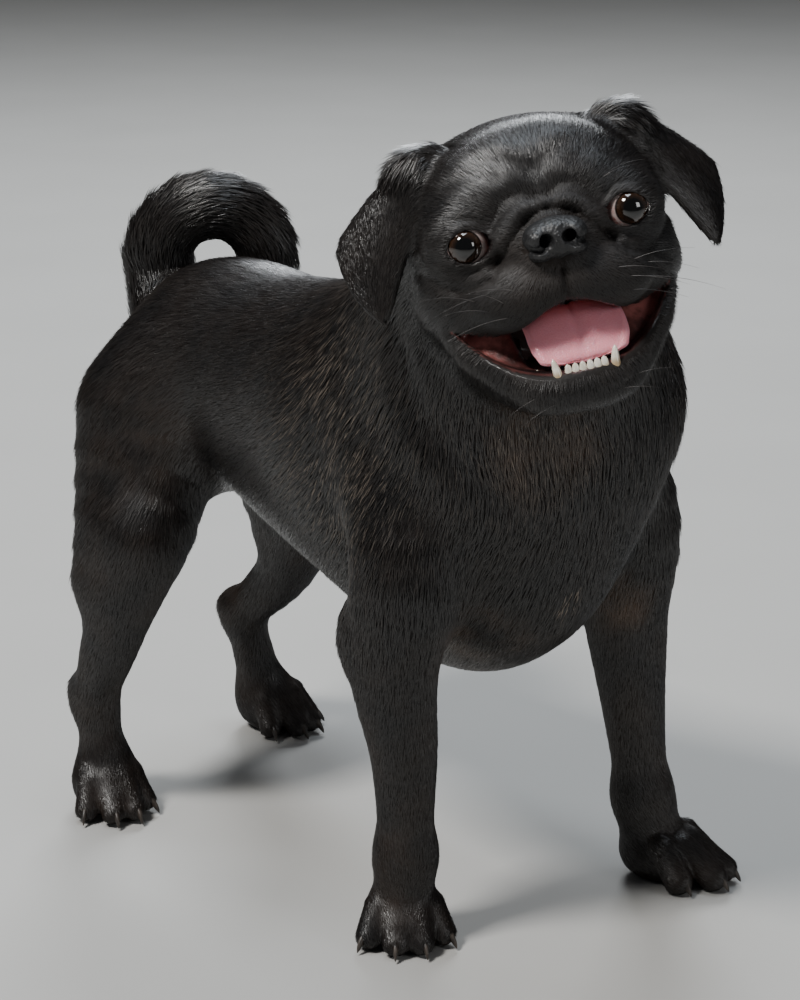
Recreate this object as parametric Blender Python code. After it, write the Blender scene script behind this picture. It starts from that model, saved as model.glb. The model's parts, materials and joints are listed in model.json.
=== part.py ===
"""A black pug standing still, life size, its head turned to its right with the mouth open.

The flesh is one signed-distance field: each part of the body is a function that gives the distance
to its surface, out to the tips of the coat, and the parts are joined with rounded unions. The field
is meshed once and parted with thin cuts into named pieces. Eyes, ears, nose, tongue and claws are
pieces of their own. The pug faces -Y, its left side is +X, and the floor is z = 0.
"""
import math

import bmesh
import bpy
import numpy as np
from mathutils import Matrix, Vector

for old in list(bpy.data.objects):
    bpy.data.objects.remove(old, do_unlink=True)

MM = 0.001

# Driving dimensions, in metres
GAP = 0.0003                    # between pieces that meet
MESH_STEP = 0.0023              # grid on which the flesh is meshed
FLESH_TRIANGLES = 4330
FAR = 0.05                      # stands for every distance that no union needs
EYE_APART = 0.0365              # half the distance between the eyeballs' middles
EYE_DEEP = 0.0105               # eyeball's middle behind the plane of the irises
EYE_RADIUS = 0.0115
LID_THICK = 0.0020
EYE_HALF_WIDTH = 0.0094         # of the opening between the lids
EYE_HALF_HEIGHT = 0.0067
EAR_THICK = 0.0044
CLAW_LENGTH = 0.0066
CLAW_RADIUS = 0.0021

# Pose
EYES_MIDDLE = (-0.0608, -0.1755, 0.3662)
HEAD_TURN = 34.0                # degrees towards its own right
HEAD_RAISE = 8.0
HEAD_TILT = 12.1                # left side up
TO_BOX_MIDDLE = (-0.0116, -0.00885)      # sets the middle of the whole model's box on the origin


# Helpers for distances

def vec(*values):
    return np.array(values, float)


def lengths(rows):
    return np.sqrt((rows * rows).sum(1))


def turned_axes(turn, lift=0.0, tilt=0.0):
    """Left, back and up of something that faces -Y, turned to its right, lifted and tilted."""
    a, b, c = (math.radians(-v) for v in (turn, lift, tilt))
    about_z = np.array([[math.cos(a), -math.sin(a), 0], [math.sin(a), math.cos(a), 0], [0, 0, 1]])
    about_x = np.array([[1, 0, 0], [0, math.cos(b), -math.sin(b)], [0, math.sin(b), math.cos(b)]])
    about_y = np.array([[math.cos(c), 0, math.sin(c)], [0, 1, 0], [-math.sin(c), 0, math.cos(c)]])
    return about_z @ about_x @ about_y


HEAD_AXES = turned_axes(HEAD_TURN, HEAD_RAISE, HEAD_TILT)


def to_head(points):
    """Millimetres left, back and up from the point between the eyes."""
    return (points - EYES_MIDDLE) @ HEAD_AXES / MM


def from_head(points):
    return np.asarray(points, float) * MM @ HEAD_AXES.T + EYES_MIDDLE


def mirrored(points):
    """The left half's coordinates of points on either side of the head."""
    out = points.copy()
    out[:, 0] = np.abs(out[:, 0])
    return out


def join(a, b, reach):
    """Union whose crease is rounded over reach."""
    h = np.maximum(reach - np.abs(a - b), 0.0) / reach
    return np.minimum(a, b) - h * h * reach / 4


def carve(a, b, reach):
    """a without b, the rim rounded over reach."""
    return -join(-a, b, reach)


def egg(points, middle, radii, axes=None):
    """Distance, nearly, to an ellipsoid."""
    q = points - middle
    if axes is not None:
        q = q @ axes
    a = q / radii
    k0 = lengths(a) + 1e-9
    k1 = lengths(a / radii) + 1e-9
    return k0 * (k0 - 1) / k1


def smooth_path(points, radii, per_span):
    """Catmull-Rom curve through the points, which carries the radii with it."""
    rows = np.column_stack([np.asarray(points, float), radii])
    rows = np.vstack([2 * rows[0] - rows[1], rows, 2 * rows[-1] - rows[-2]])
    t = np.linspace(0, 1, per_span, endpoint=False)[:, None]
    spans = []
    for p0, p1, p2, p3 in zip(rows, rows[1:], rows[2:], rows[3:]):
        spans.append(0.5 * (2 * p1 + (p2 - p0) * t + (2 * p0 - 5 * p1 + 4 * p2 - p3) * t ** 2
                            + (3 * p1 - p0 - 3 * p2 + p3) * t ** 3))
    spans.append(rows[-2:-1])
    rows = np.vstack(spans)
    return rows[:, :3], rows[:, 3]


def limb(points, path, radii, per_span=5, flat=None, squeeze=1.0):
    """Distance to a round tapered body along a path, thinner by squeeze in the direction flat."""
    path, radii = smooth_path(path, radii, per_span)
    out = np.full(len(points), 9.0)
    for a, b, ra, rb in zip(path, path[1:], radii, radii[1:]):
        span = b - a
        q = points - a
        h = np.clip((q @ span) / (span @ span), 0, 1)
        off = q - h[:, None] * span
        if flat is not None:
            off = off + np.outer((off @ flat) * (1 / squeeze - 1), flat)
        out = np.minimum(out, lengths(off) - (ra + (rb - ra) * h))
    return out


def within(points, middle, radius, field, *given):
    """The field where it matters, inside a sphere, and a plain FAR outside it."""
    out = np.full(len(points), FAR)
    close = lengths(points - middle) < radius
    if close.any():
        out[close] = field(points[close], *given)
    return out


# Trunk, neck and tail

def trunk(p):
    """Ribs, deep brisket, forechest, belly and croup."""
    d = egg(p, vec(0, -.010, .226), vec(.073, .114, .076))
    d = join(d, egg(p, vec(0, -.058, .196), vec(.058, .076, .075)), .025)
    d = join(d, egg(p, vec(0, -.092, .222), vec(.066, .050, .066)), .025)
    d = join(d, egg(p, vec(0, .070, .236), vec(.060, .100, .060)), .025)
    return join(d, egg(p, vec(0, .134, .236), vec(.054, .064, .060)), .025)


def neck(p):
    """Thick neck from the shoulders to the back of the skull, with the ruff at the throat."""
    d = limb(p, [vec(0, -.030, .240), vec(-.008, -.080, .286), vec(-.022, -.116, .335)],
             [.073, .071, .058], 8)
    return join(d, egg(p, vec(.004, -.106, .262), vec(.074, .053, .056)), .03)


def tail_path(t):
    """Middle line of the curl: an arc over the croup towards the left hip, t from 0 to 1."""
    turn = np.radians(205 - 270 * t)
    rise = .0262 - .010 * np.clip(t - .62, 0, 1)
    return np.stack([.0165 + .0200 * np.cos(turn) + .005 * t,
                     .1795 - .0152 * np.cos(turn) - .012 * t,
                     .2890 + rise * np.sin(turn)], -1)


def tail(p):
    t = np.linspace(0, 1, 14)
    path = np.vstack([vec(-.004, .182, .258), tail_path(t)])
    return limb(p, path, np.concatenate([[.023], .0208 - .0045 * t ** 2]), 1)


# Legs and paws: side is 1 for the left leg and -1 for the right

FRONT_LEG = {
    1: [(.040, -.050, .266), (.066, -.090, .204), (.077, -.086, .142), (.082, -.088, .092),
        (.086, -.092, .044)],
    -1: [(-.040, -.045, .266), (-.064, -.086, .204), (-.068, -.080, .144), (-.062, -.080, .096),
         (-.060, -.079, .046)],
}
FRONT_LEG_RADII = [.030, .030, .0235, .0180, .0142]
HIND_LEG = {    # hip, stifle, calf, hock, point of the hock, foot
    1: [(.030, .152, .225), (.062, .142, .160), (.069, .176, .106), (.062, .210, .070),
        (.061, .220, .073), (.073, .206, .022)],
    -1: [(-.030, .142, .225), (-.064, .128, .160), (-.072, .144, .106), (-.072, .165, .062),
         (-.072, .175, .066), (-.069, .160, .022)],
}


def front_leg(p, side):
    d = limb(p, FRONT_LEG[side], FRONT_LEG_RADII)
    elbow = vec(*FRONT_LEG[side][2]) + vec(side * .004, .012, .012)
    return join(d, egg(p, elbow, vec(.017, .017, .022)), .012)


def hind_leg(p, side):
    hip, knee, calf, hock, heel, foot = (vec(*q) for q in HIND_LEG[side])
    thigh = limb(p, [hip, knee], [.044, .024], flat=vec(1, 0, 0), squeeze=.85)
    back = limb(p, [hip + vec(side * .012, .014, -.010), calf + vec(0, .003, .03)], [.037, .021])
    shin = limb(p, [knee, calf, hock], [.023, .0185, .0130])
    below = limb(p, [heel, hock, foot], [.009, .0125, .0120])
    return join(join(join(thigh, back, .02), shin, .02), below, .010)


PAWS = {    # where the ankle stands over the floor, which way the toes point, their reach, breadth
    "front_left": dict(at=(.0895, -.0910), turn=-22.0, reach=.0480, breadth=.94,
                       ankle=(.086, -.092, .044)),
    "front_right": dict(at=(-.0555, -.0705), turn=33.0, reach=.0350, breadth=.88,
                        ankle=(-.060, -.079, .046)),
    "hind_left": dict(at=(.0750, .2090), turn=-12.0, reach=.0380, breadth=.82,
                      ankle=(.073, .206, .022)),
    "hind_right": dict(at=(-.0690, .1640), turn=14.0, reach=.0385, breadth=.82,
                       ankle=(-.069, .160, .022)),
}
TOE_OFFSETS = (-.0178, -.0062, .0062, .0178)
TOE_REACHES = (.72, 1.0, 1.0, .72)


def paw_point(paw, left, forward, up):
    """World place of a point given from the paw's own ankle."""
    axes = turned_axes(paw["turn"])
    return vec(*paw["at"], 0) + axes @ vec(left * paw["breadth"], -forward, up)


def toe_ends(paw):
    """Knuckle and tip of each of the four toes."""
    for offset, reach in zip(TOE_OFFSETS, TOE_REACHES):
        tip = paw["reach"] * reach
        knuckle = paw_point(paw, offset * .80, tip * .45, .0200)
        yield knuckle, paw_point(paw, offset * 1.12, tip - .008, .0070)


def paw_shape(p, paw):
    b = paw["breadth"]
    d = limb(p, [vec(*paw["ankle"]), paw_point(paw, 0, .004, .018)], [.0145 * b, .0165 * b])
    middle = paw_point(paw, 0, paw["reach"] * .28, .0118)
    pad = egg(p, middle, vec(.0190 * b, .021, .0130), turned_axes(paw["turn"]))
    d = join(d, pad, .010)
    for knuckle, tip in toe_ends(paw):
        d = join(d, limb(p, [knuckle, tip], [.0088 * b, .0084 * b]), .0028)
    return d


# Head, in millimetres about the point between the eyes

def head(p):
    """Skull, forehead, cheeks, eye mounds, muzzle with its nose roll, and lower jaw."""
    w = mirrored(to_head(p))
    d = egg(w, vec(0, 53, 7), vec(57, 54, 41))
    d = join(d, egg(w, vec(0, 28, 14.5), vec(47, 27, 30)), 12)
    d = join(d, egg(w, vec(29, 38, -25), vec(31.5, 35, 30)), 14)
    d = join(d, egg(w, vec(24, 30, -2), vec(31, 27, 30)), 10)
    d = join(d, egg(w, vec(37, 14, 1), vec(16, 13, 15)), 8)
    d = join(d, egg(w, vec(0, 7, -23), vec(37, 25, 17)), 9)
    d = join(d, egg(w, vec(0, 1, -8), vec(21, 17, 15)), 7)
    d = join(d, egg(w, vec(17, 0, -28), vec(18.5, 19, 14.5)), 6)
    jaw = egg(w, vec(0, 15, -66), vec(33, 27, 15))
    lip = [vec(0, -9, -68), vec(15, -7, -67.5), vec(28, 1, -62), vec(38, 11, -52), vec(46, 22, -42)]
    jaw = join(jaw, limb(w, lip, [6.5, 6.5, 6.5, 6, 5]), 8)
    jaw = join(jaw, egg(w, vec(0, 2, -71), vec(25, 16, 10)), 8)
    jaw = join(jaw, egg(w, vec(0, 42, -50), vec(50, 40, 30)), 18)
    d = join(d, jaw, 5)
    roll = [vec(0, -5.5, 11.5), vec(12, -5, 8.5), vec(23, -2.5, -.5), vec(30, 1, -8)]
    d = join(d, limb(w, roll, [4.2, 4.4, 4.2, 3.2]), 4)
    lid = lengths(w - vec(EYE_APART, EYE_DEEP, 0) / MM) - (EYE_RADIUS + LID_THICK) / MM
    return join(d, lid, 3.5) * MM


def lip_heights(x):
    """Edges of the hanging upper lip and of the lower lip at a distance x from the middle."""
    t = np.clip((x - 2) / 28, 0, 1)
    upper = -31.5 - 11.2 * t * t * (3 - 2 * t) + .35 * np.maximum(x - 31, 0)
    return upper, -62.5 + 24 * (x / 47) ** 3.2


def mouth(p):
    """The open mouth: between the lips, and back to the throat."""
    x, y, z = to_head(p).T
    x = np.abs(x)
    upper, lower = lip_heights(x)
    behind_lip = np.clip((y + 5 - 22 * (x / 40) ** 2) / 7, 0, 1)
    upper = upper + np.maximum(-31 - upper, 0) * behind_lip * (3 - 2 * behind_lip) * behind_lip
    d = np.maximum(z - upper, lower - z)
    wall = 50 - 25 * np.clip((y - 20) / 14, 0, 1)
    d = np.maximum(np.maximum(d, x - wall), y - 46)
    return d * MM * .75


def eye_gap(p):
    """What the lids leave open: where two round arcs overlap, out to the front."""
    x, y, z = (mirrored(to_head(p)) - vec(35.2, 0, -.2)).T
    half, high = EYE_HALF_WIDTH / MM, EYE_HALF_HEIGHT / MM
    arc = (half ** 2 + high ** 2) / (2 * high)
    d = np.maximum(np.hypot(x, z + arc - high), np.hypot(x, z - arc + high)) - arc
    return np.maximum(d, y - 8) * MM


def flesh(p):
    """The whole body but for ears, eyes, nose, tongue and claws, with flat soles at z = 0."""
    d = join(trunk(p), within(p, vec(-.010, -.080, .285), .175, neck), .035)
    for side in (-1, 1):
        d = join(d, within(p, vec(side * .068, -.080, .155), .165, front_leg, side), .018)
        d = join(d, within(p, vec(side * .060, .165, .130), .165, hind_leg, side), .020)
    d = join(d, within(p, vec(.015, .180, .285), .090, tail), .008)
    for paw in PAWS.values():
        d = join(d, within(p, paw_point(paw, 0, .010, .020), .075, paw_shape, paw), .006)
    d = join(d, within(p, from_head([0, 45, -18]), .135, head), .018)
    d = carve(d, within(p, from_head([0, 10, -40]), .085, mouth), .0025)
    d = carve(d, within(p, from_head([0, 0, 0]), .060, eye_gap), .0012)
    return np.maximum(d, -p[:, 2])


# Meshing

def values_at(field, points, block=8192):
    """The field block by block, which keeps the arrays small."""
    return np.concatenate([field(points[i:i + block]) for i in range(0, len(points), block)])


def grid_values(field, low, counts, step, coarse=4):
    """The field on a grid, worked out finely only near the surface."""
    rough_counts = (counts - 1) // coarse + 2
    rough_axes = [low[i] + step * coarse * np.arange(rough_counts[i]) for i in range(3)]
    rough = np.stack(np.meshgrid(*rough_axes, indexing="ij"), -1).reshape(-1, 3)
    rough = values_at(field, rough).reshape(rough_counts)
    nearest = [np.rint(np.arange(counts[i]) / coarse).astype(int) for i in range(3)]
    values = rough[np.ix_(*nearest)]
    near = np.abs(values) < 1.2 * coarse * step
    values[near] = values_at(field, low + step * np.argwhere(near))
    return unpinched(values)


def unpinched(values):
    """Fill a corner of each grid face whose inside corners only touch diagonally: no edge of the
    mesh is then shared by four faces."""
    for _ in range(6):
        found = 0
        for axis in range(3):
            v = np.moveaxis(values, axis, 0)
            a, b, c, d = v[:, :-1, :-1], v[:, 1:, :-1], v[:, :-1, 1:], v[:, 1:, 1:]
            pinch = ((a < 0) == (d < 0)) & ((b < 0) == (c < 0)) & ((a < 0) != (b < 0))
            found += pinch.sum()
            outer = np.where(a < 0, b, a)
            fill = np.where(pinch, -np.abs(outer) * .1 - 1e-7, outer)
            b[pinch & (a < 0)] = fill[pinch & (a < 0)]
            a[pinch & (fill < 0) & (a >= 0)] = fill[pinch & (fill < 0) & (a >= 0)]
        if not found:
            break
    return values


def surface_net(field, low, high, step):
    """Quads around the places where field is below zero: one point in each grid cell that the
    surface crosses, at the mean of its edges' crossings, and one quad for each crossed grid edge."""
    low = np.asarray(low, float)
    counts = np.ceil((np.asarray(high) - low) / step).astype(int) + 1
    values = grid_values(field, low, counts, step)
    inside = values < 0
    cells = counts - 1
    corner = [np.array(c) for c in np.ndindex(2, 2, 2)]
    full = np.zeros(cells, int)
    for c in corner:
        full += inside[c[0]:c[0] + cells[0], c[1]:c[1] + cells[1], c[2]:c[2] + cells[2]]
    crossed = np.argwhere((full > 0) & (full < 8))
    number = np.full(cells, -1)
    number[tuple(crossed.T)] = np.arange(len(crossed))
    total = np.zeros((len(crossed), 3))
    weight = np.zeros(len(crossed))
    for a in corner:
        for axis in range(3):
            if a[axis]:
                continue
            b = a + np.eye(3, dtype=int)[axis]
            va = values[tuple((crossed + a).T)]
            vb = values[tuple((crossed + b).T)]
            cut = (va < 0) != (vb < 0)
            t = np.where(cut, va / np.where(cut, va - vb, 1), 0)
            total += cut[:, None] * (a + t[:, None] * (b - a))
            weight += cut
    points = low + step * (crossed + total / weight[:, None])
    quads = []
    for axis in range(3):
        u, v = (axis + 1) % 3, (axis + 2) % 3
        step_axis, step_u, step_v = np.eye(3, dtype=int)[[axis, u, v]]
        first = np.moveaxis(inside, axis, 0)
        edges = np.argwhere(np.moveaxis(first[:-1] != first[1:], 0, axis))
        edges = edges[(edges[:, u] > 0) & (edges[:, v] > 0)]
        ring = np.stack([number[tuple((edges - du * step_u - dv * step_v).T)]
                         for du, dv in ((0, 0), (1, 0), (1, 1), (0, 1))], 1)
        outward = inside[tuple(edges.T)]
        quads.append(np.where(outward[:, None], ring, ring[:, ::-1]))
    return points, np.vstack(quads)


# Objects and materials

def material(name, colour, roughness):
    made = bpy.data.materials.new(name)
    made.use_nodes = True
    shader = made.node_tree.nodes["Principled BSDF"]
    shader.inputs["Base Color"].default_value = (*colour, 1)
    shader.inputs["Roughness"].default_value = roughness
    shader.inputs["Metallic"].default_value = 0.0
    return made


COAT = material("coat", (.018, .016, .017), .55)
EYE = material("eye", (.030, .014, .008), .05)
NOSE = material("nose_leather", (.022, .022, .024), .35)
TONGUE = material("tongue", (.66, .22, .24), .35)
CLAW = material("claw", (.030, .027, .026), .40)


def new_object(name, points, faces, made_of):
    mesh = bpy.data.meshes.new(name)
    faces = faces.tolist() if isinstance(faces, np.ndarray) else faces
    mesh.from_pydata(np.asarray(points, float).tolist(), [], faces)
    mesh.materials.append(made_of)
    mesh.update()
    made = bpy.data.objects.new(name, mesh)
    bpy.context.scene.collection.objects.link(made)
    return made


def settle_modifiers(made):
    """Replace the object's mesh with what its modifiers make of it."""
    shape = bpy.data.meshes.new_from_object(made.evaluated_get(bpy.context.evaluated_depsgraph_get()))
    made.modifiers.clear()
    made.data = shape
    return made


def boolean(made, other, operation):
    cut = made.modifiers.new(operation.lower(), "BOOLEAN")
    cut.operation = operation
    cut.object = other
    cut.solver = "EXACT"
    other.hide_render = True
    other.display_type = "WIRE"
    settle_modifiers(made)
    bpy.data.objects.remove(other, do_unlink=True)
    return made


def copy_of(made):
    return new_object("copy", [v.co for v in made.data.vertices],
                      [list(f.vertices) for f in made.data.polygons], COAT)


def unpinned(made):
    """Points and faces of the mesh, with a point of its own for each fan of faces that only meets
    another fan in a point."""
    mesh = bmesh.new()
    mesh.from_mesh(made.data)
    points = [vertex.co.copy() for vertex in mesh.verts]
    rings = {face: [vertex.index for vertex in face.verts] for face in mesh.faces}
    for vertex in mesh.verts:
        if vertex.is_manifold:
            continue
        left = sorted(vertex.link_faces, key=lambda face: face.index)
        first = True
        while left:
            fan = [left.pop(0)]
            for face in fan:
                for edge in face.edges:
                    if vertex not in edge.verts:
                        continue
                    for other in edge.link_faces:
                        if other in left:
                            left.remove(other)
                            fan.append(other)
            if not first:
                middle = sum((face.calc_center_median() for face in fan), Vector()) / len(fan)
                points.append(vertex.co.lerp(middle, .05))
                for face in fan:
                    rings[face] = [len(points) - 1 if i == vertex.index else i for i in rings[face]]
            first = False
    faces = [rings[face] for face in mesh.faces]
    mesh.free()
    return np.array(points), faces


def loose_parts(made):
    """Points and faces of each body in the mesh that isn't joined to the others, largest first."""
    mesh = bmesh.new()
    mesh.from_mesh(made.data)
    bmesh.ops.remove_doubles(mesh, verts=mesh.verts, dist=.000002)
    bmesh.ops.triangulate(mesh, faces=mesh.faces)
    mesh.verts.ensure_lookup_table()
    seen = set()
    parts = []
    for start in mesh.verts:
        if start in seen:
            continue
        body = [start]
        seen.add(start)
        for vertex in body:
            for edge in vertex.link_edges:
                other = edge.other_vert(vertex)
                if other not in seen:
                    seen.add(other)
                    body.append(other)
        order = {vertex: i for i, vertex in enumerate(body)}
        faces = {face for vertex in body for face in vertex.link_faces}
        faces = sorted(([order[v] for v in face.verts] for face in faces))
        parts.append((np.array([vertex.co for vertex in body]), faces))
    mesh.free()
    return sorted(parts, key=lambda part: -len(part[0]))


def ball(name, middle, radii, axes, made_of, rows=8, columns=12):
    """Ellipsoid of rings and columns."""
    points = [vec(0, 0, 1)]
    for i in range(1, rows):
        polar = math.pi * i / rows
        for j in range(columns):
            around = 2 * math.pi * j / columns
            out = math.sin(polar)
            points.append(vec(out * math.cos(around), out * math.sin(around), math.cos(polar)))
    points.append(vec(0, 0, -1))
    last = len(points) - 1
    faces = []
    for j in range(columns):
        k = (j + 1) % columns
        faces.append([0, 1 + j, 1 + k])
        for i in range(rows - 2):
            a = 1 + i * columns
            b = a + columns
            faces.append([a + j, b + j, b + k, a + k])
        a = 1 + (rows - 2) * columns
        faces.append([a + j, last, a + k])
    points = np.array(points) * radii @ np.asarray(axes).T + middle
    return new_object(name, points, faces, made_of)


def tube(name, path, radii, sides, made_of):
    """Closed tube with a ring at each point of the path and a point at each end."""
    path = np.asarray(path, float)
    along = np.gradient(path, axis=0)
    along /= lengths(along)[:, None]
    across = np.cross(along, vec(.2, .1, 1.0))
    across /= lengths(across)[:, None]
    other = np.cross(along, across)
    around = np.linspace(0, 2 * math.pi, sides, endpoint=False)
    rings = [p + r * (np.outer(np.cos(around), u) + np.outer(np.sin(around), v))
             for p, r, u, v in zip(path, radii, across, other)]
    count = len(rings)
    points = np.vstack(rings + [path[:1], path[-1:]])
    faces = []
    for j in range(sides):
        k = (j + 1) % sides
        for i in range(count - 1):
            faces.append([i * sides + j, i * sides + k, (i + 1) * sides + k, (i + 1) * sides + j])
        faces.append([count * sides, k, j])
        faces.append([count * sides + 1, (count - 1) * sides + j, (count - 1) * sides + k])
    return new_object(name, points, faces, made_of)


def plate(middle, normal, along, half_along, half_across, corners=20):
    """Thin disc or, with four corners, a thin rectangle, for parting the flesh."""
    n = np.asarray(normal, float)
    n /= np.linalg.norm(n)
    u = np.asarray(along, float)
    u -= n * (u @ n)
    u /= np.linalg.norm(u)
    v = np.cross(n, u)
    start = math.pi / 4 if corners == 4 else 0
    grow = math.sqrt(2) if corners == 4 else 1
    turn = start + 2 * math.pi * np.arange(corners) / corners
    rim = middle + grow * (np.outer(half_along * np.cos(turn), u) + np.outer(half_across * np.sin(turn), v))
    points = np.vstack([rim - n * GAP / 2, rim + n * GAP / 2])
    faces = [list(range(corners))[::-1], list(range(corners, 2 * corners))]
    faces += [[j, (j + 1) % corners, corners + (j + 1) % corners, corners + j] for j in range(corners)]
    return new_object("cut", points, faces, COAT)


def jaw_cut():
    """Thin bent sheet: back between the lips and cheeks, then down behind the chin."""
    x = np.linspace(-66, 66, 23)[:, None]
    mouth_middle = sum(lip_heights(np.minimum(np.abs(x), 42))) / 2
    back = np.array([-45, 0, 19.5])[None, :]
    drop = np.array([18, 36, 54])[None, :]
    y = np.hstack([back + 0 * x, 19.5 + .26 * drop + 0 * x])
    z = np.hstack([mouth_middle + 0 * back, mouth_middle * (1 - drop / 54) - 96 * drop / 54])
    points = from_head(np.stack([x + 0 * y, y, z], -1).reshape(-1, 3))
    down = y.shape[1]
    faces = [[i * down + j, (i + 1) * down + j, (i + 1) * down + j + 1, i * down + j + 1]
             for i in range(len(x) - 1) for j in range(down - 1)]
    sheet = new_object("cut", points, faces, COAT)
    wall = sheet.modifiers.new("wall", "SOLIDIFY")
    wall.thickness = GAP
    wall.offset = 0
    return settle_modifiers(sheet)


def cuts():
    """Every thin cut through the flesh."""
    yield plate(from_head([0, 74, -44]), HEAD_AXES @ vec(0, -.80, .60), HEAD_AXES @ vec(0, .60, .80),
                .095, .100)
    yield plate(vec(-.002, -.092, .262), vec(0, -.62, .785), vec(0, .785, .62), .108, .105)
    yield jaw_cut()
    yield plate(vec(.0135, .178, .287), vec(0, .546, .838), vec(1, 0, 0), .049, .051, 4)
    for side in (-1, 1):
        leg = np.array(FRONT_LEG[side])
        elbow, wrist = leg[2], leg[4]
        yield plate(elbow + vec(-side * .003, 0, .026), vec(side * .80, 0, -.60), vec(0, 1, 0),
                    .058, .060)
        yield plate(elbow + vec(side * .002, 0, -.030), vec(0, 0, 1), vec(1, 0, 0), .032, .032)
        yield plate(wrist + vec(0, 0, .004), vec(0, 0, 1), vec(1, 0, 0), .024, .024)
        hip, knee, calf, hock, heel, foot = (vec(*q) for q in HIND_LEG[side])
        yield plate(knee + vec(-side * .004, .020, .012), vec(-side * .35, .10, .93), vec(0, 1, 0),
                    .064, .048)
        yield plate(calf + vec(0, .002, -.002), vec(0, .30, -.95), vec(1, 0, 0), .034, .040)
        yield plate(hock + (foot - hock) * .45, hock - foot, vec(1, 0, 0), .022, .024)


def box_of(made):
    points = np.array([vertex.co for vertex in made.data.vertices])
    return points.min(0), points.max(0)


def parted(piece, cutter):
    """The pieces that the cutter leaves of a piece: only the piece itself if it is clear of it."""
    low, high = box_of(piece)
    cut_low, cut_high = box_of(cutter)
    if (low > cut_high).any() or (cut_low > high).any():
        return [piece]
    whole = boolean(copy_of(piece), copy_of(cutter), "DIFFERENCE")
    bodies = [body for body in loose_parts(whole) if len(body[0]) > 40]
    bpy.data.objects.remove(whole, do_unlink=True)
    if len(bodies) < 2:
        return [piece]
    bpy.data.objects.remove(piece, do_unlink=True)
    return [new_object("piece", points, faces, COAT) for points, faces in bodies]


ANCHORS = {     # a place near the middle of each piece that the cuts leave
    "head": from_head([0, 40, 0]),
    "lower_jaw": from_head([0, 2, -68]),
    "neck": vec(-.012, -.098, .300),
    "trunk": vec(0, .020, .225),
    "tail": vec(.018, .175, .310),
    "front_leg_left_upper": vec(.078, -.088, .155),
    "front_leg_left_lower": vec(.082, -.088, .085),
    "front_paw_left": vec(.098, -.108, .018),
    "front_leg_right_upper": vec(-.072, -.080, .155),
    "front_leg_right_lower": vec(-.062, -.080, .085),
    "front_paw_right": vec(-.064, -.084, .018),
    "hind_leg_left_upper": vec(.064, .160, .140),
    "hind_leg_left_lower": vec(.064, .196, .085),
    "hind_paw_left": vec(.077, .196, .018),
    "hind_leg_right_upper": vec(-.068, .138, .140),
    "hind_leg_right_lower": vec(-.072, .156, .080),
    "hind_paw_right": vec(-.072, .154, .018),
}


def make_flesh():
    """Mesh the field, thin the mesh, part it and name the pieces."""
    points, quads = surface_net(flesh, (-.130, -.215, -.006), (.145, .250, .432), MESH_STEP)
    body = new_object("flesh", points, quads, COAT)
    thin = body.modifiers.new("thin", "DECIMATE")
    thin.ratio = FLESH_TRIANGLES / (2 * len(quads))
    thin.use_collapse_triangulate = True
    settle_modifiers(body)
    points, faces = unpinned(body)
    bpy.data.objects.remove(body, do_unlink=True)
    body = new_object("flesh", points, faces, COAT)
    points, faces = loose_parts(body)[0]
    points[points[:, 2] < .0006, 2] = 0
    bpy.data.objects.remove(body, do_unlink=True)
    body = new_object("flesh", points, faces, COAT)
    for eye_side in (-1, 1):
        socket = ball("socket", eye_middle(eye_side), np.full(3, EYE_RADIUS + GAP), HEAD_AXES, COAT)
        boolean(body, socket, "DIFFERENCE")
    boolean(body, nose_shape("nose_seat", GAP), "DIFFERENCE")
    pieces = [body]
    for cutter in cuts():
        pieces = [piece for one in pieces for piece in parted(one, cutter)]
        bpy.data.objects.remove(cutter, do_unlink=True)
    found = {}
    for piece in pieces:
        low, high = box_of(piece)
        found[min(ANCHORS, key=lambda key: np.linalg.norm(ANCHORS[key] - (low + high) / 2))] = piece
    for name, piece in found.items():
        piece.name = name
        piece.data.name = name
    return found


# Eyes, nose, ears, tongue, teeth and claws

def eye_middle(side):
    return from_head(vec(side * EYE_APART, EYE_DEEP, 0) / MM)


def nose_shape(name, grow):
    radii = vec(14, 9.5, 9.8) * MM + grow
    return ball(name, from_head([0, -14.5, -4.2]), radii, HEAD_AXES, NOSE, 8, 12)


def ear_sheet(side, across=5, down=9):
    """Middle sheet of a button ear: it rises from the skull, folds over and hangs to its tip."""
    u = np.linspace(0, 1, across)[:, None, None]
    v = np.linspace(0, .97, down)[None, :, None]
    fold_at = .36
    base = vec(36, 36, 41) + vec(14, 38, -13) * u
    fold_front, fold_back, tip = vec(45, 32, 41.5), vec(86.5, 60, 9), vec(76, 31, -27)
    fold = fold_front + (fold_back - fold_front) * u + vec(2, 12, 10) * u * (1 - u)
    rise = np.clip(v / fold_at, 0, 1)
    drop = np.clip((v - fold_at) / (1 - fold_at), 0, 1)
    up = base + (fold - base) * rise + vec(0, 0, 5) * rise * (1 - rise)
    middle = .45 * fold_front + .55 * fold_back
    down_part = middle + (tip - middle) * drop + (fold - middle) * (1 - drop ** 1.7)
    sheet = np.where(drop > 0, down_part, up) * vec(side, 1, 1)
    return from_head(sheet.reshape(-1, 3)).reshape(across, down, 3)


def pushed_clear(points, clear):
    """Points moved straight out of the flesh until each is at least clear away from it."""
    points = np.array(points, float)
    for _ in range(12):
        d = flesh(points)
        steps = [flesh(points + shift) - flesh(points - shift) for shift in np.eye(3) * .0005]
        slope = np.stack(steps, 1)
        slope /= lengths(slope)[:, None] + 1e-12
        points += slope * np.maximum(clear - d, 0)[:, None]
    return points


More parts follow.
